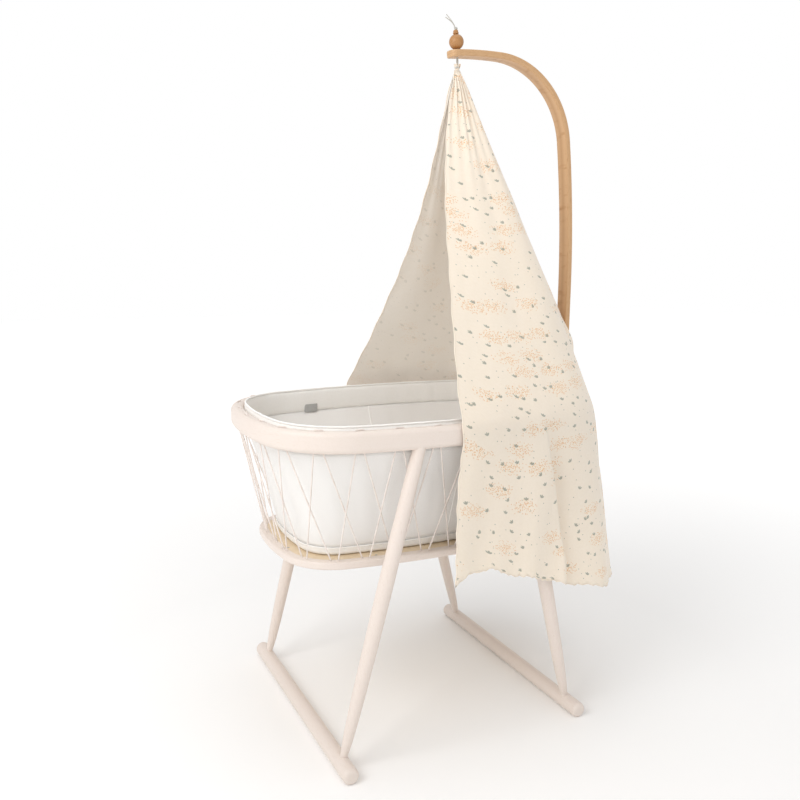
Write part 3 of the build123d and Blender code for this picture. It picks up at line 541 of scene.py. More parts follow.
arm_hole = Vector((neck_centre.x, 0, neck_high.z + 0.009))
stem = [knot_centre, ball_centre, arm_hole, Vector((neck_centre.x, 0, neck_low.z + 0.002))]
stem_spacing = 0.0015
stem_path = []
for a, b in zip(stem, stem[1:]):
    count = max(round((b - a).length / stem_spacing), 2)
    stem_path += [a.lerp(b, k / count) for k in range(count)]
stem_path.append(stem[-1])
stem_path = np.array([tuple(p) for p in stem_path])
for _ in range(6):
    stem_path[1:-1] = (stem_path[:-2] + 2 * stem_path[1:-1] + stem_path[2:]) / 4
hanging = strand_tube(
    "hanging_cord", stem_path, cord_radius, grey_cotton, lobes=4, pitch=0.014, lobe_depth=0.07,
    around=16,
)
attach(hanging, "stand")
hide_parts("canopy_cord")

# the knot: one closed overhand turn, pulled tight
knot_path = []
knot_steps = 110
for k in range(knot_steps):
    a = 2 * pi * k / knot_steps
    reach = 0.0022 * (1.0 + 0.5 * cos(3 * a))
    knot_path.append(
        tuple(knot_centre + Vector((reach * cos(2 * a), reach * sin(2 * a), 0.0016 * sin(3 * a))))
    )
knot = strand_tube(
    "hanging_cord_knot", knot_path, 0.0014, grey_cotton, lobes=4, pitch=0.006, lobe_depth=0.08,
    around=12, closed=True,
)
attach(knot, "stand")

for node_name, route in tails.items():
    first = Vector(route[1]).normalized()
    start = knot_centre + first * (knot_radius - 0.0002)
    curve = bpy.data.curves.new(node_name + "_line", "CURVE")
    curve.dimensions = "3D"
    curve.bevel_depth = tail_radius
    curve.bevel_resolution = 4
    curve.resolution_u = 16
    curve.use_fill_caps = True
    spline = curve.splines.new("NURBS")
    spline.points.add(len(route) - 1)
    for point, offset in zip(spline.points, route):
        point.co = tuple(start + Vector(offset) / 1000) + (1.0,)
    spline.order_u = 3
    spline.use_endpoint_u = True
    curve.materials.append(grey_cotton)
    tail = add_to_scene(node_name.replace("cord_tail", "free_end"), curve)
    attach(tail, "stand")
    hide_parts(node_name)

# ------------------------------------------------------------------ lacing
# Twisted cotton cord, threaded down through holes in the rim and round the bottom ring, so
# that the runs cross between them. It carries the basket and is pulled tight.
lace_pairs = 28
lace_stagger = 0.002
lace_radius = 0.00165
rim_pair, ring_pair = 0.020, 0.017          # between the two holes of a pair
hole_mouth = 0.001                          # where a run meets the wood
rim_low, rim_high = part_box("top_rim")
ring_low, ring_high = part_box("bottom_ring")


def oval_arcs(half_length, half_width, side_radius, end_radius, corner_radius):
    """Tangent arcs of an oval as (centre, radius, start angle, arc size), from the head end."""
    end_x, side_y = half_length - end_radius, half_width - side_radius
    span = hypot(end_x, side_y)
    to_end, to_side = end_radius - corner_radius, side_radius - corner_radius
    along = (to_end**2 - to_side**2 + span**2) / (2 * span)
    across = sqrt(to_end**2 - along**2)
    ux, uy = -end_x / span, side_y / span
    corner_x, corner_y = end_x + ux * along - uy * across, uy * along + ux * across
    if corner_y < 0:
        corner_x, corner_y = end_x + ux * along + uy * across, uy * along - ux * across
    end_turn = atan2(corner_y, corner_x - end_x)
    side_turn = atan2(corner_y - side_y, corner_x)
    bend, flank = side_turn - end_turn, pi - 2 * side_turn
    return [
        (end_x, 0.0, end_radius, -end_turn, 2 * end_turn),
        (corner_x, corner_y, corner_radius, end_turn, bend),
        (0.0, side_y, side_radius, side_turn, flank),
        (-corner_x, corner_y, corner_radius, pi - side_turn, bend),
        (-end_x, 0.0, end_radius, pi - end_turn, 2 * end_turn),
        (-corner_x, -corner_y, corner_radius, pi + end_turn, bend),
        (0.0, -side_y, side_radius, pi + side_turn, flank),
        (corner_x, -corner_y, corner_radius, 2 * pi - side_turn, bend),
    ]


def station(arcs, fraction):
    """Point on an oval and outward direction, a fraction of the way round from the head end."""
    lengths = [radius * size for _, _, radius, _, size in arcs]
    total = sum(lengths)
    distance = ((fraction % 1.0) * total + lengths[0] / 2) % total
    for (x, y, radius, start, size), length in zip(arcs, lengths):
        if distance <= length:
            break
        distance -= length
    angle = start + size * distance / length
    outward = np.array((cos(angle), sin(angle)))
    return np.array((x + basket_x, y)) + outward * radius, outward


rim_arcs = oval_arcs(0.424, 0.291, 1.620, 0.740, 0.185)
ring_arcs = oval_arcs(0.364, 0.212, 1.600, 0.640, 0.115)


def pair_holes(arcs, index, spacing, trailing_out=0.0, leading_out=0.0):
    """The two holes of a pair on an oval, each moved outwards by its own amount."""
    centre, outward = station(arcs, index / lace_pairs)
    along = np.array((-outward[1], outward[0])) * spacing / 2
    return centre - along + outward * trailing_out, centre + along + outward * leading_out


def at(point, height):
    return np.array((point[0], point[1], height))


def crossing_lean(index):
    """+1 or -1: the side on which a run passes the one that it crosses."""
    leaving = at(pair_holes(rim_arcs, index, rim_pair)[1], rim_low.z)
    arriving = at(pair_holes(ring_arcs, index + 1, ring_pair)[0], ring_high.z)
    other_high = at(pair_holes(rim_arcs, index + 1, rim_pair)[0], rim_low.z)
    other_low = at(pair_holes(ring_arcs, index, ring_pair)[1], ring_high.z)
    across = np.cross(arriving - leaving, other_low - other_high)
    return 1.0 if np.dot(other_high - leaving, across) >= 0 else -1.0


leans = [lace_stagger * crossing_lean(k) for k in range(lace_pairs)]
rim_holes = [pair_holes(rim_arcs, k, rim_pair, -leans[k - 1], leans[k]) for k in range(lace_pairs)]
ring_holes = [pair_holes(ring_arcs, k, ring_pair, leans[k - 1], -leans[k]) for k in range(lace_pairs)]


def rounded_path(corners, radius, spacing):
    """Points round a closed run of straight lines with each corner rounded."""
    path = []
    count = len(corners)
    for k in range(count):
        here, back, ahead = corners[k], corners[k - 1], corners[(k + 1) % count]
        to_back, to_ahead = back - here, ahead - here
        reach = min(radius, 0.45 * np.linalg.norm(to_back), 0.45 * np.linalg.norm(to_ahead))
        start = here + to_back / np.linalg.norm(to_back) * reach
        end = here + to_ahead / np.linalg.norm(to_ahead) * reach
        for j in range(6):
            t = j / 5
            path.append((1 - t) ** 2 * start + 2 * t * (1 - t) * here + t**2 * end)
    filled = []
    total = len(path)
    for k in range(total):
        a, b = path[k], path[(k + 1) % total]
        parts = max(int(np.linalg.norm(b - a) / spacing), 1)
        filled += [a + (b - a) * j / parts for j in range(parts)]
    return np.array(filled)


lace_cotton = cord_material("twisted_lacing_cotton", tone("F6EEE8"), tone("DDD0C7"))
lace_corner, lace_spacing = 0.0035, 0.0032
over_rim = rim_high.z + lace_radius + 0.0001
under_ring = ring_low.z - lace_radius - 0.0001
for node_name, first in (("lacing_cord_a", 0), ("lacing_cord_b", 1)):
    corners = []
    for k in range(first, lace_pairs, 2):
        trailing, leading = rim_holes[k]
        below = ring_holes[(k + 1) % lace_pairs]
        after = rim_holes[(k + 2) % lace_pairs][0]
        corners += [
            at(trailing, over_rim), at(leading, over_rim), at(leading, rim_low.z - hole_mouth),
            at(below[0], ring_high.z + hole_mouth), at(below[0], under_ring), at(below[1], under_ring),
            at(below[1], ring_high.z + hole_mouth), at(after, rim_low.z - hole_mouth),
        ]
    path = rounded_path(corners, lace_corner, lace_spacing)
    lace = strand_tube(
        "laced_" + node_name[-1], path, lace_radius, lace_cotton, lobes=3, pitch=0.0105,
        lobe_depth=0.10, around=9, closed=True,
    )
    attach(lace, "stand")
    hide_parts(node_name)

# ------------------------------------------------------------------ liner
# A white cotton liner: a padded band round the rim's inner face with a piped top edge, a
# see-through knitted wall and a quilted tray on the base. It is held by hook tape on the rim.


def weave_group():
    """Plain weave: over-and-under threads from a pair of lengths across the cloth, in metres."""
    group, entry, leave = node_group(
        "plain_weave", {"Vector": "Vector", "Threads per metre": "Float"},
        {"Height": "Float", "Shade": "Float"},
    )
    scaled = add_node(group, "ShaderNodeVectorMath", {0: entry.outputs["Vector"]}, operation="SCALE")
    group.links.new(entry.outputs["Threads per metre"], scaled.inputs["Scale"])
    apart = add_node(group, "ShaderNodeSeparateXYZ", {0: scaled.outputs[0]})
    waves = [sums(group, "SINE", sums(group, "MULTIPLY", apart.outputs[k], pi)) for k in range(2)]
    crossing = sums(group, "MULTIPLY", *waves)
    slubs = add_node(
        group, "ShaderNodeTexNoise",
        {"Vector": entry.outputs["Vector"], "Scale": 160.0, "Detail": 4.0, "Roughness": 0.65},
    )
    slub = slubs.outputs["Fac"]
    feed(group, leave, Height=sums(group, "MULTIPLY_ADD", crossing, 0.5, slub), Shade=slub)
    return group


plain_weave = weave_group()


def cotton_material(name, light, dark, threads, bump=0.25, sheen=0.15, coordinates="UV"):
    """Plain woven cotton between two tones, with this many threads per metre."""
    made, tree, shader = new_material(name, Roughness=0.88, Sheen_Weight=sheen)
    place = add_node(tree, "ShaderNodeTexCoord")
    values = {"Vector": place.outputs[coordinates], "Threads per metre": threads}
    weave = add_node(tree, "ShaderNodeGroup", values, node_tree=plain_weave).outputs
    shade = colour_between(tree, weave["Shade"], dark, light)
    feed(tree, shader, Base_Color=shade, Normal=relief(tree, weave["Height"], bump, 0.0005))
    return made, tree, shader


liner_white, _, _ = cotton_material("liner_white_cotton", tone("FCFBF8"), tone("F3F1ED"), 900.0)

mesh_white, mesh_tree, mesh_shader = new_material(
    "liner_knitted_mesh", Base_Color=tone("FBFAF7"), Roughness=0.9, Sheen_Weight=0.2
)
place = add_node(mesh_tree, "ShaderNodeTexCoord")
holes = add_node(
    mesh_tree, "ShaderNodeTexVoronoi",
    {"Vector": place.outputs["UV"], "Scale": 520.0, "Randomness": 0.25}, voronoi_dimensions="2D",
)
from_loop = holes.outputs["Distance"]       # 0 in the middle of each hole of the knit
clearest, densest = 0.60, 0.94
feed(
    mesh_tree, mesh_shader,
    Alpha=ranged(mesh_tree, from_loop, 0.12, 0.34, clearest, densest),
    Base_Color=colour_between(mesh_tree, from_loop, tone("F5F2EE"), tone("FDFCFA")),
    Normal=relief(mesh_tree, from_loop, 0.25, 0.0004),
)

round_count = 420
rim_ring = [station(rim_arcs, k / round_count) for k in range(round_count)]
base_ring = [station(ring_arcs, k / round_count) for k in range(round_count)]
rim_spots = np.array([p for p, _ in rim_ring])
rim_outward = np.array([n for _, n in rim_ring])
base_spots = np.array([p for p, _ in base_ring])
base_outward = np.array([n for _, n in base_ring])


def girth_of(row):
    """Length once round a closed row of points."""
    return float(np.linalg.norm(np.diff(np.vstack((row, row[:1])), axis=0), axis=1).sum())


def round_shell(name, rows, material, closed_profile, girth=girth_of(rim_spots)):
    """Surface that runs all the way round. rows is a list of (count x 3) rings of points."""
    stack = np.array(rows)
    depth, count, _ = stack.shape
    points = stack.reshape(-1, 3)
    drop = np.concatenate(([0.0], np.cumsum(np.linalg.norm(np.diff(stack[:, 0], axis=0), axis=1))))
    uv = [(girth * k / count, drop[r]) for r in range(depth) for k in range(count)]
    faces = []
    for r in range(depth if closed_profile else depth - 1):
        for k in range(count):
            a, b = r * count + k, r * count + (k + 1) % count
            c, d = ((r + 1) % depth) * count + k, ((r + 1) % depth) * count + (k + 1) % count
            faces.append((a, b, d, c))
    return mesh_piece(name, points, faces, material, uv)


def ring_row(spots, outward, reach, height):
    """One ring of points moved outwards by reach and set at a height; both may vary round it."""
    flat = spots + outward * np.broadcast_to(reach, len(spots))[:, None]
    return np.column_stack((flat, np.broadcast_to(height, len(spots))))


def ripple(scale, seed, size):
    """Smooth seeded unevenness round the rim."""
    return np.array(
        [noise.noise(Vector((p[0] * scale, p[1] * scale, seed))) * size for p in rim_spots]
    )


rim_half_depth = 0.015
band_low, band_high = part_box("liner_band")
band_outer = rim_high.x - 2 * rim_half_depth - band_high.x      # from the rim's inner face to the band
band_middle = -rim_half_depth - band_outer - 0.0035
band_half_depth = 0.0034
band_half_height = (band_high.z - band_low.z) / 2
band_centre_z = (band_high.z + band_low.z) / 2
puckers = ripple(26.0, 3.0, 1.0)
fine_puckers = ripple(75.0, 8.0, 1.0)
band_rows = []
profile_steps = 28
for k in range(profile_steps):
    a = 2 * pi * k / profile_steps
    depth = np.sign(cos(a)) * abs(cos(a)) ** 0.45
    level = np.sign(sin(a)) * abs(sin(a)) ** 0.75
    # the inner side (depth below 0) carries the soft puckers between its two seams
    soft = (1 - level**2) * 0.0016 if depth < 0 else 0.0
    seam = 0.0012 * (abs(level) > 0.86)
    reach = band_middle + depth * (band_half_depth - seam) - soft * (0.55 + 0.9 * puckers)
    reach = reach - 0.0007 * fine_puckers * (depth < 0)
    band_rows.append(ring_row(rim_spots, rim_outward, reach, band_centre_z + level * band_half_height))
band = round_shell("liner_band_padded", band_rows, liner_white, True)
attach(band, "stand")
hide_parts("liner_band")

piping_low, piping_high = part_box("liner_piping")
piping_z = (piping_low.z + piping_high.z) / 2
piping_path = ring_row(
    rim_spots, rim_outward, band_middle + 0.0004 * puckers, piping_z + 0.0005 * fine_puckers
)
piping = strand_tube(
    "liner_piped_edge", piping_path, 0.0024, liner_white, lobes=1, pitch=0.03, lobe_depth=0.05,
    around=12, closed=True,
)
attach(piping, "stand")
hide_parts("liner_piping")

# knitted wall: hangs from the band's lower seam to the tray's edge, a little slack between
mesh_low, mesh_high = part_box("liner_mesh")
tray_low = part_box("liner_floor")[0]
tray_reach = -rim_half_depth - 0.012
wall_rows = []
wall_steps = 26
for k in range(wall_steps + 1):
    share = k / wall_steps
    slack = -0.006 * sin(pi * share) - 0.0035 * sin(pi * share) * puckers
    top = ring_row(rim_spots, rim_outward, band_middle + 0.0005 + slack, mesh_high.z)
    foot = ring_row(base_spots, base_outward, tray_reach - 0.001 + slack, mesh_low.z)
    wall_rows.append(top * (1 - share) + foot * share)
wall = round_shell("liner_mesh_wall", wall_rows, mesh_white, False)
thickness = wall.modifiers.new("cloth", "SOLIDIFY")
thickness.thickness = 0.0006
thickness.offset = 0
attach(wall, "stand")
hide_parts("liner_mesh")

# quilted tray: rolled lower edge, upright side and a bound seam where the wall is sewn on
tray_rows = []
tray_profile = [(-0.060, 0.0012), (-0.030, 0.0010), (-0.010, 0.0008), (-0.004, 0.0022), (-0.0012, 0.0055),
                (0.0, 0.010), (0.0, 0.0165), (0.0012, 0.0180), (0.0016, 0.0195), (0.0008, 0.0208),
                (-0.0012, 0.0200), (-0.0022, 0.0170), (-0.0022, 0.0100), (-0.0034, 0.0065),
                (-0.0065, 0.0042), (-0.012, 0.0032), (-0.030, 0.0034), (-0.060, 0.0036)]
for reach, lift in tray_profile:
    tray_rows.append(ring_row(base_spots, base_outward, tray_reach + reach, tray_low.z + lift))
middle = np.array((basket_x, 0.0))
flat_edge = base_spots + base_outward * (tray_reach - 0.060)


def drawn_in(lift, steps=12):
    """Rings of the tray's flat middle from its edge inwards, at a lift above the tray's foot."""
    rings = []
    for k in range(1, steps):
        flat = middle + (flat_edge - middle) * (1 - k / steps)
        rings.append(np.column_stack((flat, np.full(len(flat), tray_low.z + lift))))
    return rings


tray_rows = drawn_in(0.0012)[::-1] + tray_rows + drawn_in(0.0036)
tray = round_shell("liner_tray", tray_rows, liner_white, True)
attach(tray, "stand")
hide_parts("liner_floor")

# two upright seams where the wall's cloth is joined, at the middle of each long side
for name, fraction in (("near", 0.75), ("far", 0.25)):
    seam_points = []
    column = round(fraction * round_count) % round_count
    for row in wall_rows:
        seam_points.append(row[column])
    seam_points = np.array(seam_points)
    seam = strand_tube(
        "liner_seam_" + name, seam_points, 0.0014, liner_white, lobes=2, pitch=0.006, lobe_depth=0.1,
        around=10,
    )
    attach(seam, "stand")

# hook tape glued round the rim's inner face
hook_tape, _, _ = cotton_material("hook_tape", tone("F2EFEA"), tone("E0DCD5"), 700.0, 0.5, 0.1, "Object")
finish_node("rim_tape", hook_tape)

# blank woven label, stitched to the band by its short ends
label_low, label_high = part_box("liner_label")
label_grey, _, _ = cotton_material("label_grey_tape", tone("BDBDBB"), tone("A5A5A3"), 1400.0, 0.3)
label_points, label_uv, label_faces = [], [], []
label_columns, label_rows = 24, 12
for r in range(label_rows + 1):
    for k in range(label_columns + 1):
        x = label_low.x + (label_high.x - label_low.x) * k / label_columns
        z = label_low.z + (label_high.z - label_low.z) * r / label_rows
        share = (x - label_low.x) / (label_high.x - label_low.x)
        y = label_low.y + 0.0006 + (label_high.y - label_low.y - 0.0012) * share
        bow = 0.0007 * sin(pi * k / label_columns) * (1 + 0.4 * sin(2 * pi * r / label_rows))
        label_points.append((x, y - bow, z))
        label_uv.append((x, z))
for r in range(label_rows):
    for k in range(label_columns):
        a = r * (label_columns + 1) + k
        label_faces.append((a, a + 1, a + label_columns + 2, a + label_columns + 1))
label = mesh_piece("blank_label", label_points, label_faces, label_grey, label_uv)
thickness = label.modifiers.new("tape", "SOLIDIFY")
thickness.thickness = 0.0006
thickness.offset = 0
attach(label, "stand")
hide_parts("liner_label")

# ------------------------------------------------------------------ mattress
# A foam pad in a cream cotton cover with a piped seam round its top edge. It lies loose on
# the tray and lifts straight out.
mattress_low, mattress_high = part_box("mattress")
cream_cover, _, _ = cotton_material("mattress_cream_cotton", tone("F6EFE4"), tone("EADFD0"), 800.0, 0.3)
mattress_reach = tray_reach - 0.002 - 0.003
half_high = (mattress_high.z - mattress_low.z) / 2
mattress_z = (mattress_high.z + mattress_low.z) / 2
side_steps, fill_steps = 12, 14
pad_rows = []
for k in range(side_steps + 1):
    a = -pi / 2 + pi * k / side_steps
    level = np.sign(sin(a)) * abs(sin(a)) ** 0.8
    pad_rows.append(
        ring_row(base_spots, base_outward, mattress_reach - 0.006 - 0.010 * (1 - cos(a)),
                 mattress_z + level * (half_high - 0.005))
    )
pad_under, pad_over = [], []
for k in range(1, fill_steps):
    share = 1 - k / fill_steps
    for gather, source in ((pad_under, pad_rows[0]), (pad_over, pad_rows[-1])):
        ring = source.copy()
        ring[:, :2] = middle + (ring[:, :2] - middle) * share
        gather.append(ring)
pad = round_shell("mattress_pad", pad_under[::-1] + pad_rows + pad_over, cream_cover, False)
shape = bmesh.new()
shape.from_mesh(pad.data)
bmesh.ops.holes_fill(shape, edges=[edge for edge in shape.edges if edge.is_boundary], sides=0)
bmesh.ops.recalc_face_normals(shape, faces=shape.faces)
shape.to_mesh(pad.data)
shape.free()
swell_steps, largest_swell = 14, 0.005
remesh = pad.modifiers.new("even", "REMESH")
remesh.mode = "VOXEL"
remesh.voxel_size = 0.006
graph = bpy.context.evaluated_depsgraph_get()
even = bpy.data.meshes.new_from_object(pad.evaluated_get(graph))
pad.modifiers.clear()
pad.data = even
swell = pad.modifiers.new("swell", "CLOTH")
swell.settings.use_pressure = True
swell.settings.uniform_pressure_force = 4.0
swell.settings.effector_weights.gravity = 0.0
swell.settings.quality = 5
swell.point_cache.frame_start = 1
swell.point_cache.frame_end = swell_steps
rest = np.array([v.co for v in even.vertices])
for step in range(1, swell_steps + 1):
    bpy.context.scene.frame_set(step)
graph = bpy.context.evaluated_depsgraph_get()
swollen = bpy.data.meshes.new_from_object(pad.evaluated_get(graph))
bpy.context.scene.frame_set(1)
pad.modifiers.clear()
moved = np.array([v.co for v in swollen.vertices]) - rest
reach = np.linalg.norm(moved, axis=1)[:, None]
moved = moved * np.minimum(1.0, largest_swell / np.maximum(reach, 1e-9))
settled = rest + moved
# it lies flat on the tray, and keeps to its own height
settled[:, 2] = np.clip(settled[:, 2], mattress_low.z + 0.0002, mattress_high.z)
swollen.vertices.foreach_set("co", settled.ravel())
swollen.materials.clear()
swollen.materials.append(cream_cover)
swollen.polygons.foreach_set("use_smooth", [True] * len(swollen.polygons))
layer = swollen.uv_layers.new(name="cut")
corners = np.zeros(len(swollen.loops), int)
swollen.loops.foreach_get("vertex_index", corners)
layer.data.foreach_set("uv", settled[corners][:, :2].ravel())
pad.data = swollen
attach(pad, "mattress")
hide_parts("mattress")
pad_seam = strand_tube(
    "mattress_piping",
    ring_row(base_spots, base_outward, mattress_reach - 0.0035, mattress_high.z - 0.011),
    0.0018, cream_cover, lobes=1, pitch=0.03, lobe_depth=0.04, around=10, closed=True,
)
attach(pad_seam, "mattress")

# ------------------------------------------------------------------ canopy cloth
# One piece of thin printed cotton, gathered and tied at the neck, open at the foot end. It
# hangs as a cone to the rim, drops outside it, and has a slit at the back for the pole.
half_columns = 190
rows_above, rows_below = 110, 72
apex = Vector((neck_centre.x, 0, neck_low.z - 0.002))
# the cloth's front edge and the place where it leaves the rim for the pole, as shares of the
# way round the rim, counted in lacing pairs from the head end
front_fraction = 20.45 / lace_pairs
corner_fraction = 26.6 / lace_pairs
cloth_gap = rim_half_depth + 0.0045      # from the rim's middle line
pole_clear = pole_high.x + 0.0068
gather_radius = 0.0066
rim_level = rim_high.z + 0.006
pole_knee = 0.900
slit_low, slit_high, slit_half = 0.862, 0.962, 0.0228


def smooth(low, high, value):
    share = np.clip((np.asarray(value, float) - low) / (high - low), 0, 1)
    return share * share * (3 - 2 * share)


# plan of the cloth at the rim on the near side, from the front edge to behind the pole
plan = []
for k in range(121):
    point, outward = station(rim_arcs, front_fraction + (corner_fraction - front_fraction) * k / 120)
    plan.append(point + outward * cloth_gap)
last = plan[-1]
turn_start = np.array((pole_clear - 0.004, -pole_half_width - 0.012))
for k in range(1, 31):
    plan.append(last + (turn_start - last) * k / 30)
for k in range(1, 9):
    a = pi / 2 * k / 8
    plan.append(np.array((turn_start[0] + 0.004 * sin(a), turn_start[1] + 0.010 * (1 - cos(a)))))
for k in range(1, 9):
    plan.append(np.array((pole_clear, plan[-1][1] + (0 - plan[-1][1]) * k / 8)))
plan = np.array(plan)
for _ in range(12):
    plan[1:-1] = (plan[:-2] + 2 * plan[1:-1] + plan[2:]) / 4
plan_travel = np.concatenate(([0], np.cumsum(np.linalg.norm(np.diff(plan, axis=0), axis=1))))
columns = np.linspace(0, 1, half_columns + 1)
plan = np.column_stack([np.interp(columns * plan_travel[-1], plan_travel, plan[:, k]) for k in (0, 1)])
plan[-1, 1] = 0.0
along = np.gradient(plan, axis=0)
along /= np.linalg.norm(along, axis=1)[:, None]
plan_outward = np.column_stack((along[:, 1], -along[:, 0]))
half_girth = plan_travel[-1]
straight_share = 1 - np.linalg.norm(turn_start - last) / half_girth
knee = rim_level + (pole_knee - rim_level) * smooth(straight_share - 0.02, 0.97, columns)

# height of the hem at some x, from the front edge to behind the pole
hem_by_x = (
    (-0.096, 0.405), (-0.050, 0.429), (0.004, 0.432), (0.026, 0.418), (0.065, 0.406),
    (0.139, 0.385), (0.217, 0.357), (0.357, 0.321), (0.440, 0.308), (0.475, 0.303),
)


def drape(side):
    """Half of the cloth as (rows x columns x 3): side -1 is near, +1 is far."""
    near = side < 0
    sag_share, bulge_depth = (0.14, 0.0245) if near else (0.17, 0.010)
    press_depth, press_shift = (0.0150, 0) if near else (0.0060, -0.045)
    c = columns[None, :]
    spots = plan * np.array((1.0, -side))
    outward = plan_outward * np.array((1.0, -side))
    turn = radians(165.0) * (1 - columns) * side
    t = np.linspace(0, 1, rows_above + 1)[:, None]
    pleat_phase = 2 * pi * 9.0 * columns + (0.8 if near else 2.1)
    neck = np.column_stack((apex.x + gather_radius * np.cos(turn), gather_radius * np.sin(turn)))
    sag = sag_share * (1 - smooth(0.05, 0.62, c))
    share = t - sag * np.sin(pi * np.clip(t, 0, 1)) ** 1.1
    reach = spots - neck
    span = np.linalg.norm(reach, axis=1)[:, None]
    crosswise = np.column_stack((-reach[:, 1], reach[:, 0])) * side / span
    bulge = bulge_depth * np.clip(1 - c / 0.26, 0, 1) ** 1.6
    bulge = bulge * t**0.9 * (1 - t) ** 1.8 / 0.179
    upper = np.zeros((rows_above + 1, half_columns + 1, 3))
    upper[:, :, :2] = neck + reach * share[:, :, None] + crosswise * bulge[:, :, None]
    upper[:, :, 2] = apex.z + (knee - apex.z) * t
    folds = 0.0034 * np.sin(pleat_phase)[None, :] * np.exp(-((t / 0.26) ** 2)) * smooth(0, 0.05, t)
    folds = folds + 0.0042 * np.sin(2 * pi * 3.4 * c + 0.9 - side) * np.sin(pi * t) * np.exp(-1.6 * t)
    folds = folds + 0.0050 * np.sin(2 * pi * 1.55 * c + 2.2 * t + 0.5 * side) * np.sin(pi * t)
    folds = folds * (1 - 0.75 * smooth(0.70, 0.95, c))
    upper[:, :, :2] += outward[None, :, :] * folds[:, :, None]

    u = np.linspace(0, 1, rows_below + 1)[1:, None]
    drop_x = spots[:, 0] + outward[:, 0] * 0.025
    hem = np.interp(drop_x, [x for x, _ in hem_by_x], [z for _, z in hem_by_x])
    travel = columns * half_girth
    hem = hem + 0.0020 * np.sin(2 * pi * travel / 0.019 + side) + 0.0028 * np.sin(2 * pi * travel / 0.083)
    lower = np.zeros((rows_below, half_columns + 1, 3))
    lower[:, :, 2] = knee + (hem - knee) * u
    below_rim = smooth(rim_low.z + 0.055, rim_low.z - 0.10, lower[:, :, 2])
    flare = (0.016 + 0.062 * smooth(0.30, 0.62, c) - 0.050 * smooth(0.74, 0.95, c)) * u**0.8
    # one pressed fold on the side, and softer ones around it
    fold_x = np.interp(lower[:, :, 2], (0.42, 0.744), (0.205, 0.152)) + press_shift
    past = spots[None, :, 0] - fold_x
    pressed = -np.tanh(past / 0.0045) * np.exp(-((past / np.where(past > 0, 0.170, 0.070)) ** 2))
    pressed = pressed * press_depth * below_rim
    soft = 0.0060 * np.sin(2 * pi * travel / 0.185 + 1.1 + 0.7 * u) * below_rim * (0.4 + 0.6 * u)
    soft = soft + 0.0035 * np.sin(2 * pi * travel / 0.097 + 2.4 * u + side) * below_rim * u
    frill = 0.0016 * np.sin(2 * pi * travel / 0.021 + 0.6) * smooth(0.955, 1.0, u)
    calm = 1 - 0.6 * smooth(straight_share + 0.04, 0.96, c)
    out = flare + (pressed + soft) * calm + frill
    lower[:, :, :2] = spots[None] + outward[None] * out[:, :, None]
    lower[:, :, 0] -= 0.012 * np.clip(1 - c / 0.12, 0, 1) ** 1.5 * u
    sheet = np.concatenate((upper, lower))
    # loosely crumpled all over
    for r in range(sheet.shape[0]):
        for k in range(sheet.shape[1]):
            x, y, z = sheet[r, k]
            size = 0.0022 * min(1.0, r / 30) * (1 - 0.6 * columns[k] ** 6)
            lift = noise.noise(Vector((x * 11 + 5 * side, y * 11, z * 5))) * size * 1.6
            lift += noise.noise(Vector((x * 34, y * 34 + 9 * side, z * 13))) * size * 0.45
            if abs(z - rim_high.z) < 0.05:
                lift = max(lift, 0.0)
            sheet[r, k, :2] += outward[k] * lift
    # the free front edge turns a little outwards and waves
    edge = np.clip(1 - columns / 0.035, 0, 1) ** 2
    wave = 0.0018 * np.sin(np.arange(sheet.shape[0]) * 0.55 + side)
    sheet[:, :, 0] += edge[None, :] * wave[:, None]
    # it is drawn back a little where it passes the rim
    level = (sheet[:, :, 2] - rim_low.z - 0.020) / 0.075
    sheet[:, :, 0] += 0.014 * np.exp(-(level**2)) * np.clip(1 - c / 0.16, 0, 1) * (1 if near else 0)
    for _ in range(4):
        middle_rows = (sheet[:-2] + 2 * sheet[1:-1] + sheet[2:]) / 4
        sheet[4:-4] = middle_rows[3:-3]
    # the slit: the two halves part round the pole
    z = sheet[:, :, 2]
    inside = (z > slit_low) & (z < slit_high)
    lens = np.where(inside, np.sin(pi * np.clip((z - slit_low) / (slit_high - slit_low), 0, 1)) ** 0.55, 0)
    y = sheet[:, :, 1]
    part = slit_half * lens * np.exp(-((y / 0.07) ** 2))
    sheet[:, :, 1] = side * np.sqrt(y**2 + part**2)
    return sheet


print_group, entry, leave = node_group(
    "meadow_print",
    {"Vector": "Vector", "Cloth": "Color", "Ochre": "Color", "Leaf": "Color", "Ink": "Float"},
    {"Colour": "Color"},
)


def cells(scale, randomness=1.0, vector=None):
    """Scattered cells, so many to the metre, one printed mark in each."""
    return add_node(
        print_group, "ShaderNodeTexVoronoi",
        {"Vector": vector or entry.outputs["Vector"], "Scale": scale, "Randomness": randomness},
        voronoi_dimensions="2D",
    )


def maths(operation, *values, clamp=False):
    return sums(print_group, operation, *values, clamp=clamp)


def ramp(value, start, end, low=0.0, high=1.0):
    return ranged(print_group, value, start, end, low, high)


def chance(voronoi, channel=0):
    """A number from 0 to 1 that is the same all over one cell."""
    apart = add_node(print_group, "ShaderNodeSeparateColor", {0: voronoi.outputs["Color"]})
    return apart.outputs[channel]


# low clusters of fine ochre dots, wider than they are high
stretched = add_node(
    print_group, "ShaderNodeVectorMath", {0: entry.outputs["Vector"], 1: (0.48, 1.0, 1.0)},
    operation="MULTIPLY",
)
patch = cells(23.0, 0.9, stretched.outputs[0])
patch_on = maths("GREATER_THAN", chance(patch, 1), 0.52)
patch_share = maths("MULTIPLY", ramp(patch.outputs["Distance"], 0.50, 0.08, 0.0, 0.85), patch_on)
dots = cells(285.0)
dot_shape = ramp(dots.outputs["Distance"], 0.36, 0.24)
dot_on = maths("LESS_THAN", chance(dots), patch_share)
ochre_mask = maths("MULTIPLY", dot_shape, dot_on)

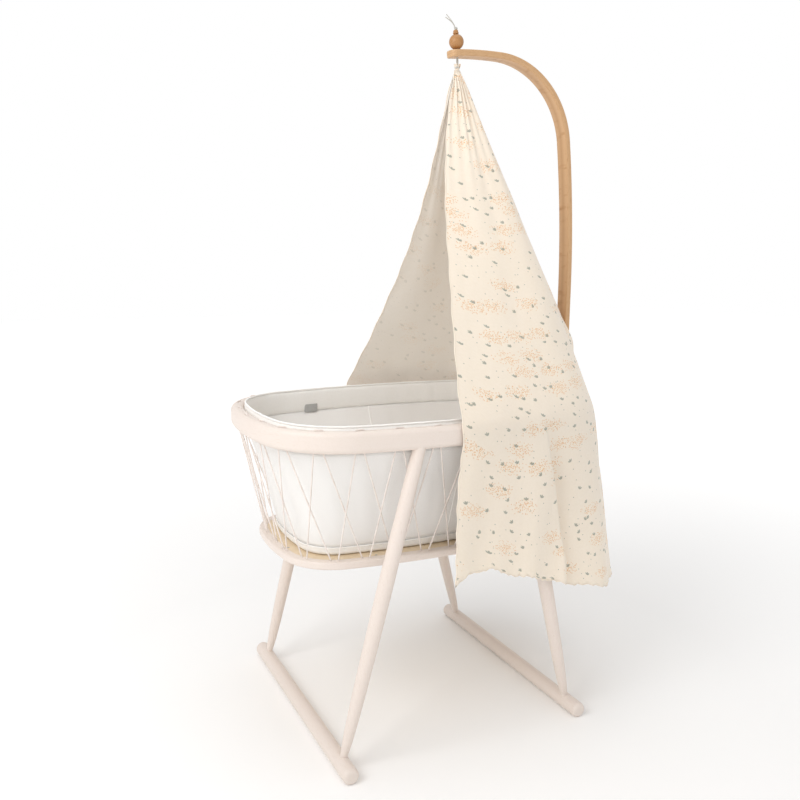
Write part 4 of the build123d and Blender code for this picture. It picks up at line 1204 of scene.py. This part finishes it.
# single dots scattered between the clusters
loose = cells(74.0)
loose_shape = ramp(loose.outputs["Distance"], 0.105, 0.07)
loose_on = maths("LESS_THAN", chance(loose, 1), 0.16)
loose_mask = maths("MULTIPLY", loose_shape, loose_on)

# sprigs of three leaves, each turned its own way
sprigs = cells(31.0, 0.85)
sprig_on = maths("LESS_THAN", chance(sprigs, 2), 0.46)
local = add_node(
    print_group, "ShaderNodeVectorMath",
    {0: entry.outputs["Vector"], 1: sprigs.outputs["Position"]}, operation="SUBTRACT",
)
lean = maths("MULTIPLY_ADD", chance(sprigs), 1.5, -0.75)
leaf_mask = None
for petal_turn in (-0.75, 0.0, 0.75):
    angle = maths("ADD", lean, petal_turn)
    turned = add_node(
        print_group, "ShaderNodeVectorRotate", {"Vector": local.outputs[0], "Angle": angle},
        rotation_type="Z_AXIS",
    )
    apart = add_node(print_group, "ShaderNodeSeparateXYZ", {0: turned.outputs[0]})
    sideways = maths("DIVIDE", apart.outputs[0], 0.0018)
    upward = maths("DIVIDE", maths("SUBTRACT", apart.outputs[1], 0.0040), 0.0041)
    square = maths("ADD", maths("MULTIPLY", sideways, sideways), maths("MULTIPLY", upward, upward))
    leaf = ramp(square, 1.15, 0.75)
    leaf_mask = leaf if leaf_mask is None else maths("MAXIMUM", leaf_mask, leaf)
leaf_mask = maths("MULTIPLY", leaf_mask, sprig_on)

coloured = entry.outputs["Cloth"]
for mask, ink in (
    (ochre_mask, entry.outputs["Ochre"]), (loose_mask, entry.outputs["Leaf"]),
    (leaf_mask, entry.outputs["Leaf"]),
):
    inked = maths("MULTIPLY", mask, entry.outputs["Ink"], clamp=True)
    coloured = colour_between(print_group, inked, coloured, ink)
feed(print_group, leave, Colour=coloured)


def printed_cotton(name, light, dark, ink):
    """Thin cotton with the meadow print, which lets some light through."""
    made, tree, shader = cotton_material(name, light, dark, 1500.0, 0.25, 0.2)
    plain = shader.inputs["Base Color"].links[0].from_socket
    place = add_node(tree, "ShaderNodeTexCoord")
    values = {
        "Vector": place.outputs["UV"], "Cloth": plain, "Ochre": tone("DC9C45"),
        "Leaf": tone("97998C"), "Ink": ink,
    }
    pattern = add_node(tree, "ShaderNodeGroup", values, node_tree=print_group)
    feed(tree, shader, Base_Color=pattern.outputs["Colour"])
    shader.inputs["Subsurface Weight"].default_value = 0.6
    shader.inputs["Subsurface Radius"].default_value = (1.0, 1.0, 1.0)
    shader.inputs["Subsurface Scale"].default_value = 0.003
    return made


canopy_outside = printed_cotton("canopy_printed_outside", tone("F3E5D5"), tone("EBDBC8"), 0.85)
# the inside faces get a lighter cloth colour than the outside: painted light for the shaded inside of the
# canopy; their print is fainter
canopy_inside_painted_light = printed_cotton("canopy_inside_painted_light_cotton", tone("FBF2E8"), tone("F3E7D9"), 0.22)

cloth_points, cloth_uv, cloth_faces = [], [], []
halves = {}
for side in (-1, 1):
    sheet = drape(side)
    depth, width = sheet.shape[:2]
    first = len(cloth_points)
    down = np.concatenate(
        (np.zeros((1, width)), np.cumsum(np.linalg.norm(np.diff(sheet, axis=0), axis=2), axis=0))
    )
    steps = np.linalg.norm(np.diff(sheet, axis=1), axis=2)
    around = np.concatenate((np.zeros((depth, 1)), np.cumsum(steps, axis=1)), axis=1)
    around = (around[:, -1:] - around) * side
    cloth_points += [tuple(p) for p in sheet.reshape(-1, 3)]
    cloth_uv += [(a + 3.0, 2.0 - d) for a, d in zip(around.ravel(), down.ravel())]
    for r in range(depth - 1):
        for k in range(width - 1):
            a = first + r * width + k
            quad = (a, a + width, a + width + 1, a + 1)
            cloth_faces.append(quad if side < 0 else quad[::-1])
    halves[side] = sheet
cloth = mesh_piece("canopy_cloth_printed", cloth_points, cloth_faces, canopy_outside, cloth_uv)
shape = bmesh.new()
shape.from_mesh(cloth.data)
bmesh.ops.remove_doubles(shape, verts=shape.verts, dist=0.00002)
shape.to_mesh(cloth.data)
shape.free()
# second slot: the inside faces, with their lighter colour painted as light
cloth.data.materials.append(canopy_inside_painted_light)
thickness = cloth.modifiers.new("cloth", "SOLIDIFY")
thickness.thickness = 0.0010
thickness.offset = 0
thickness.material_offset = 1
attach(cloth, "stand")
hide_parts("canopy_cloth")

# rolled and overlocked edge all round the cloth
border = np.concatenate(
    (halves[-1][:, 0], halves[-1][-1, 1:], halves[1][-1, -2::-1], halves[1][-2::-1, 0])
)
border = border[::2]
edging = strand_tube(
    "canopy_rolled_edge", border, 0.0013, canopy_outside, lobes=2, pitch=0.008, lobe_depth=0.22,
    around=8,
)
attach(edging, "stand")

# gathered neck, bound with thread under the arm
neck_rows = []
neck_turns = 120
for k in range(15):
    share = k / 14
    z = neck_low.z - 0.004 + (neck_high.z - neck_low.z + 0.003) * share
    reach = 0.0062 - 0.0018 * sin(pi * min(share * 1.5, 1.0)) + 0.0012 * max(share - 0.6, 0) * 2.5
    ring = []
    for j in range(neck_turns):
        a = 2 * pi * j / neck_turns
        pleat = 0.0009 * sin(13 * a + 0.6 * sin(3 * a)) + 0.0004 * sin(29 * a)
        r = reach + pleat
        ring.append((neck_centre.x + r * cos(a), r * sin(a), z + 0.0008 * sin(5 * a) * share))
    neck_rows.append(np.array(ring))
inner_share = 0.62
inner_rows = []
for ring in neck_rows[::-1]:
    inner = ring.copy()
    inner[:, 0] = neck_centre.x + (ring[:, 0] - neck_centre.x) * inner_share
    inner[:, 1] = ring[:, 1] * inner_share
    inner_rows.append(inner)
neck = round_shell("canopy_gathered_neck", neck_rows + inner_rows, canopy_outside, True, 0.05)
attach(neck, "stand")
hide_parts("canopy_neck")
binding_turns, turn_steps, binding_radius, binding_pitch = 4, 40, 0.0056, 0.0014
thread_path = []
for k in range(binding_turns * turn_steps):
    a = 2 * pi * k / turn_steps
    height = neck_low.z + 0.0035 + binding_pitch * k / turn_steps
    thread_path.append((neck_centre.x + binding_radius * cos(a), binding_radius * sin(a), height))
thread = strand_tube("neck_binding", thread_path, 0.0008, grey_cotton, lobes=2, pitch=0.004,
                     lobe_depth=0.1, around=8)
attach(thread, "stand")
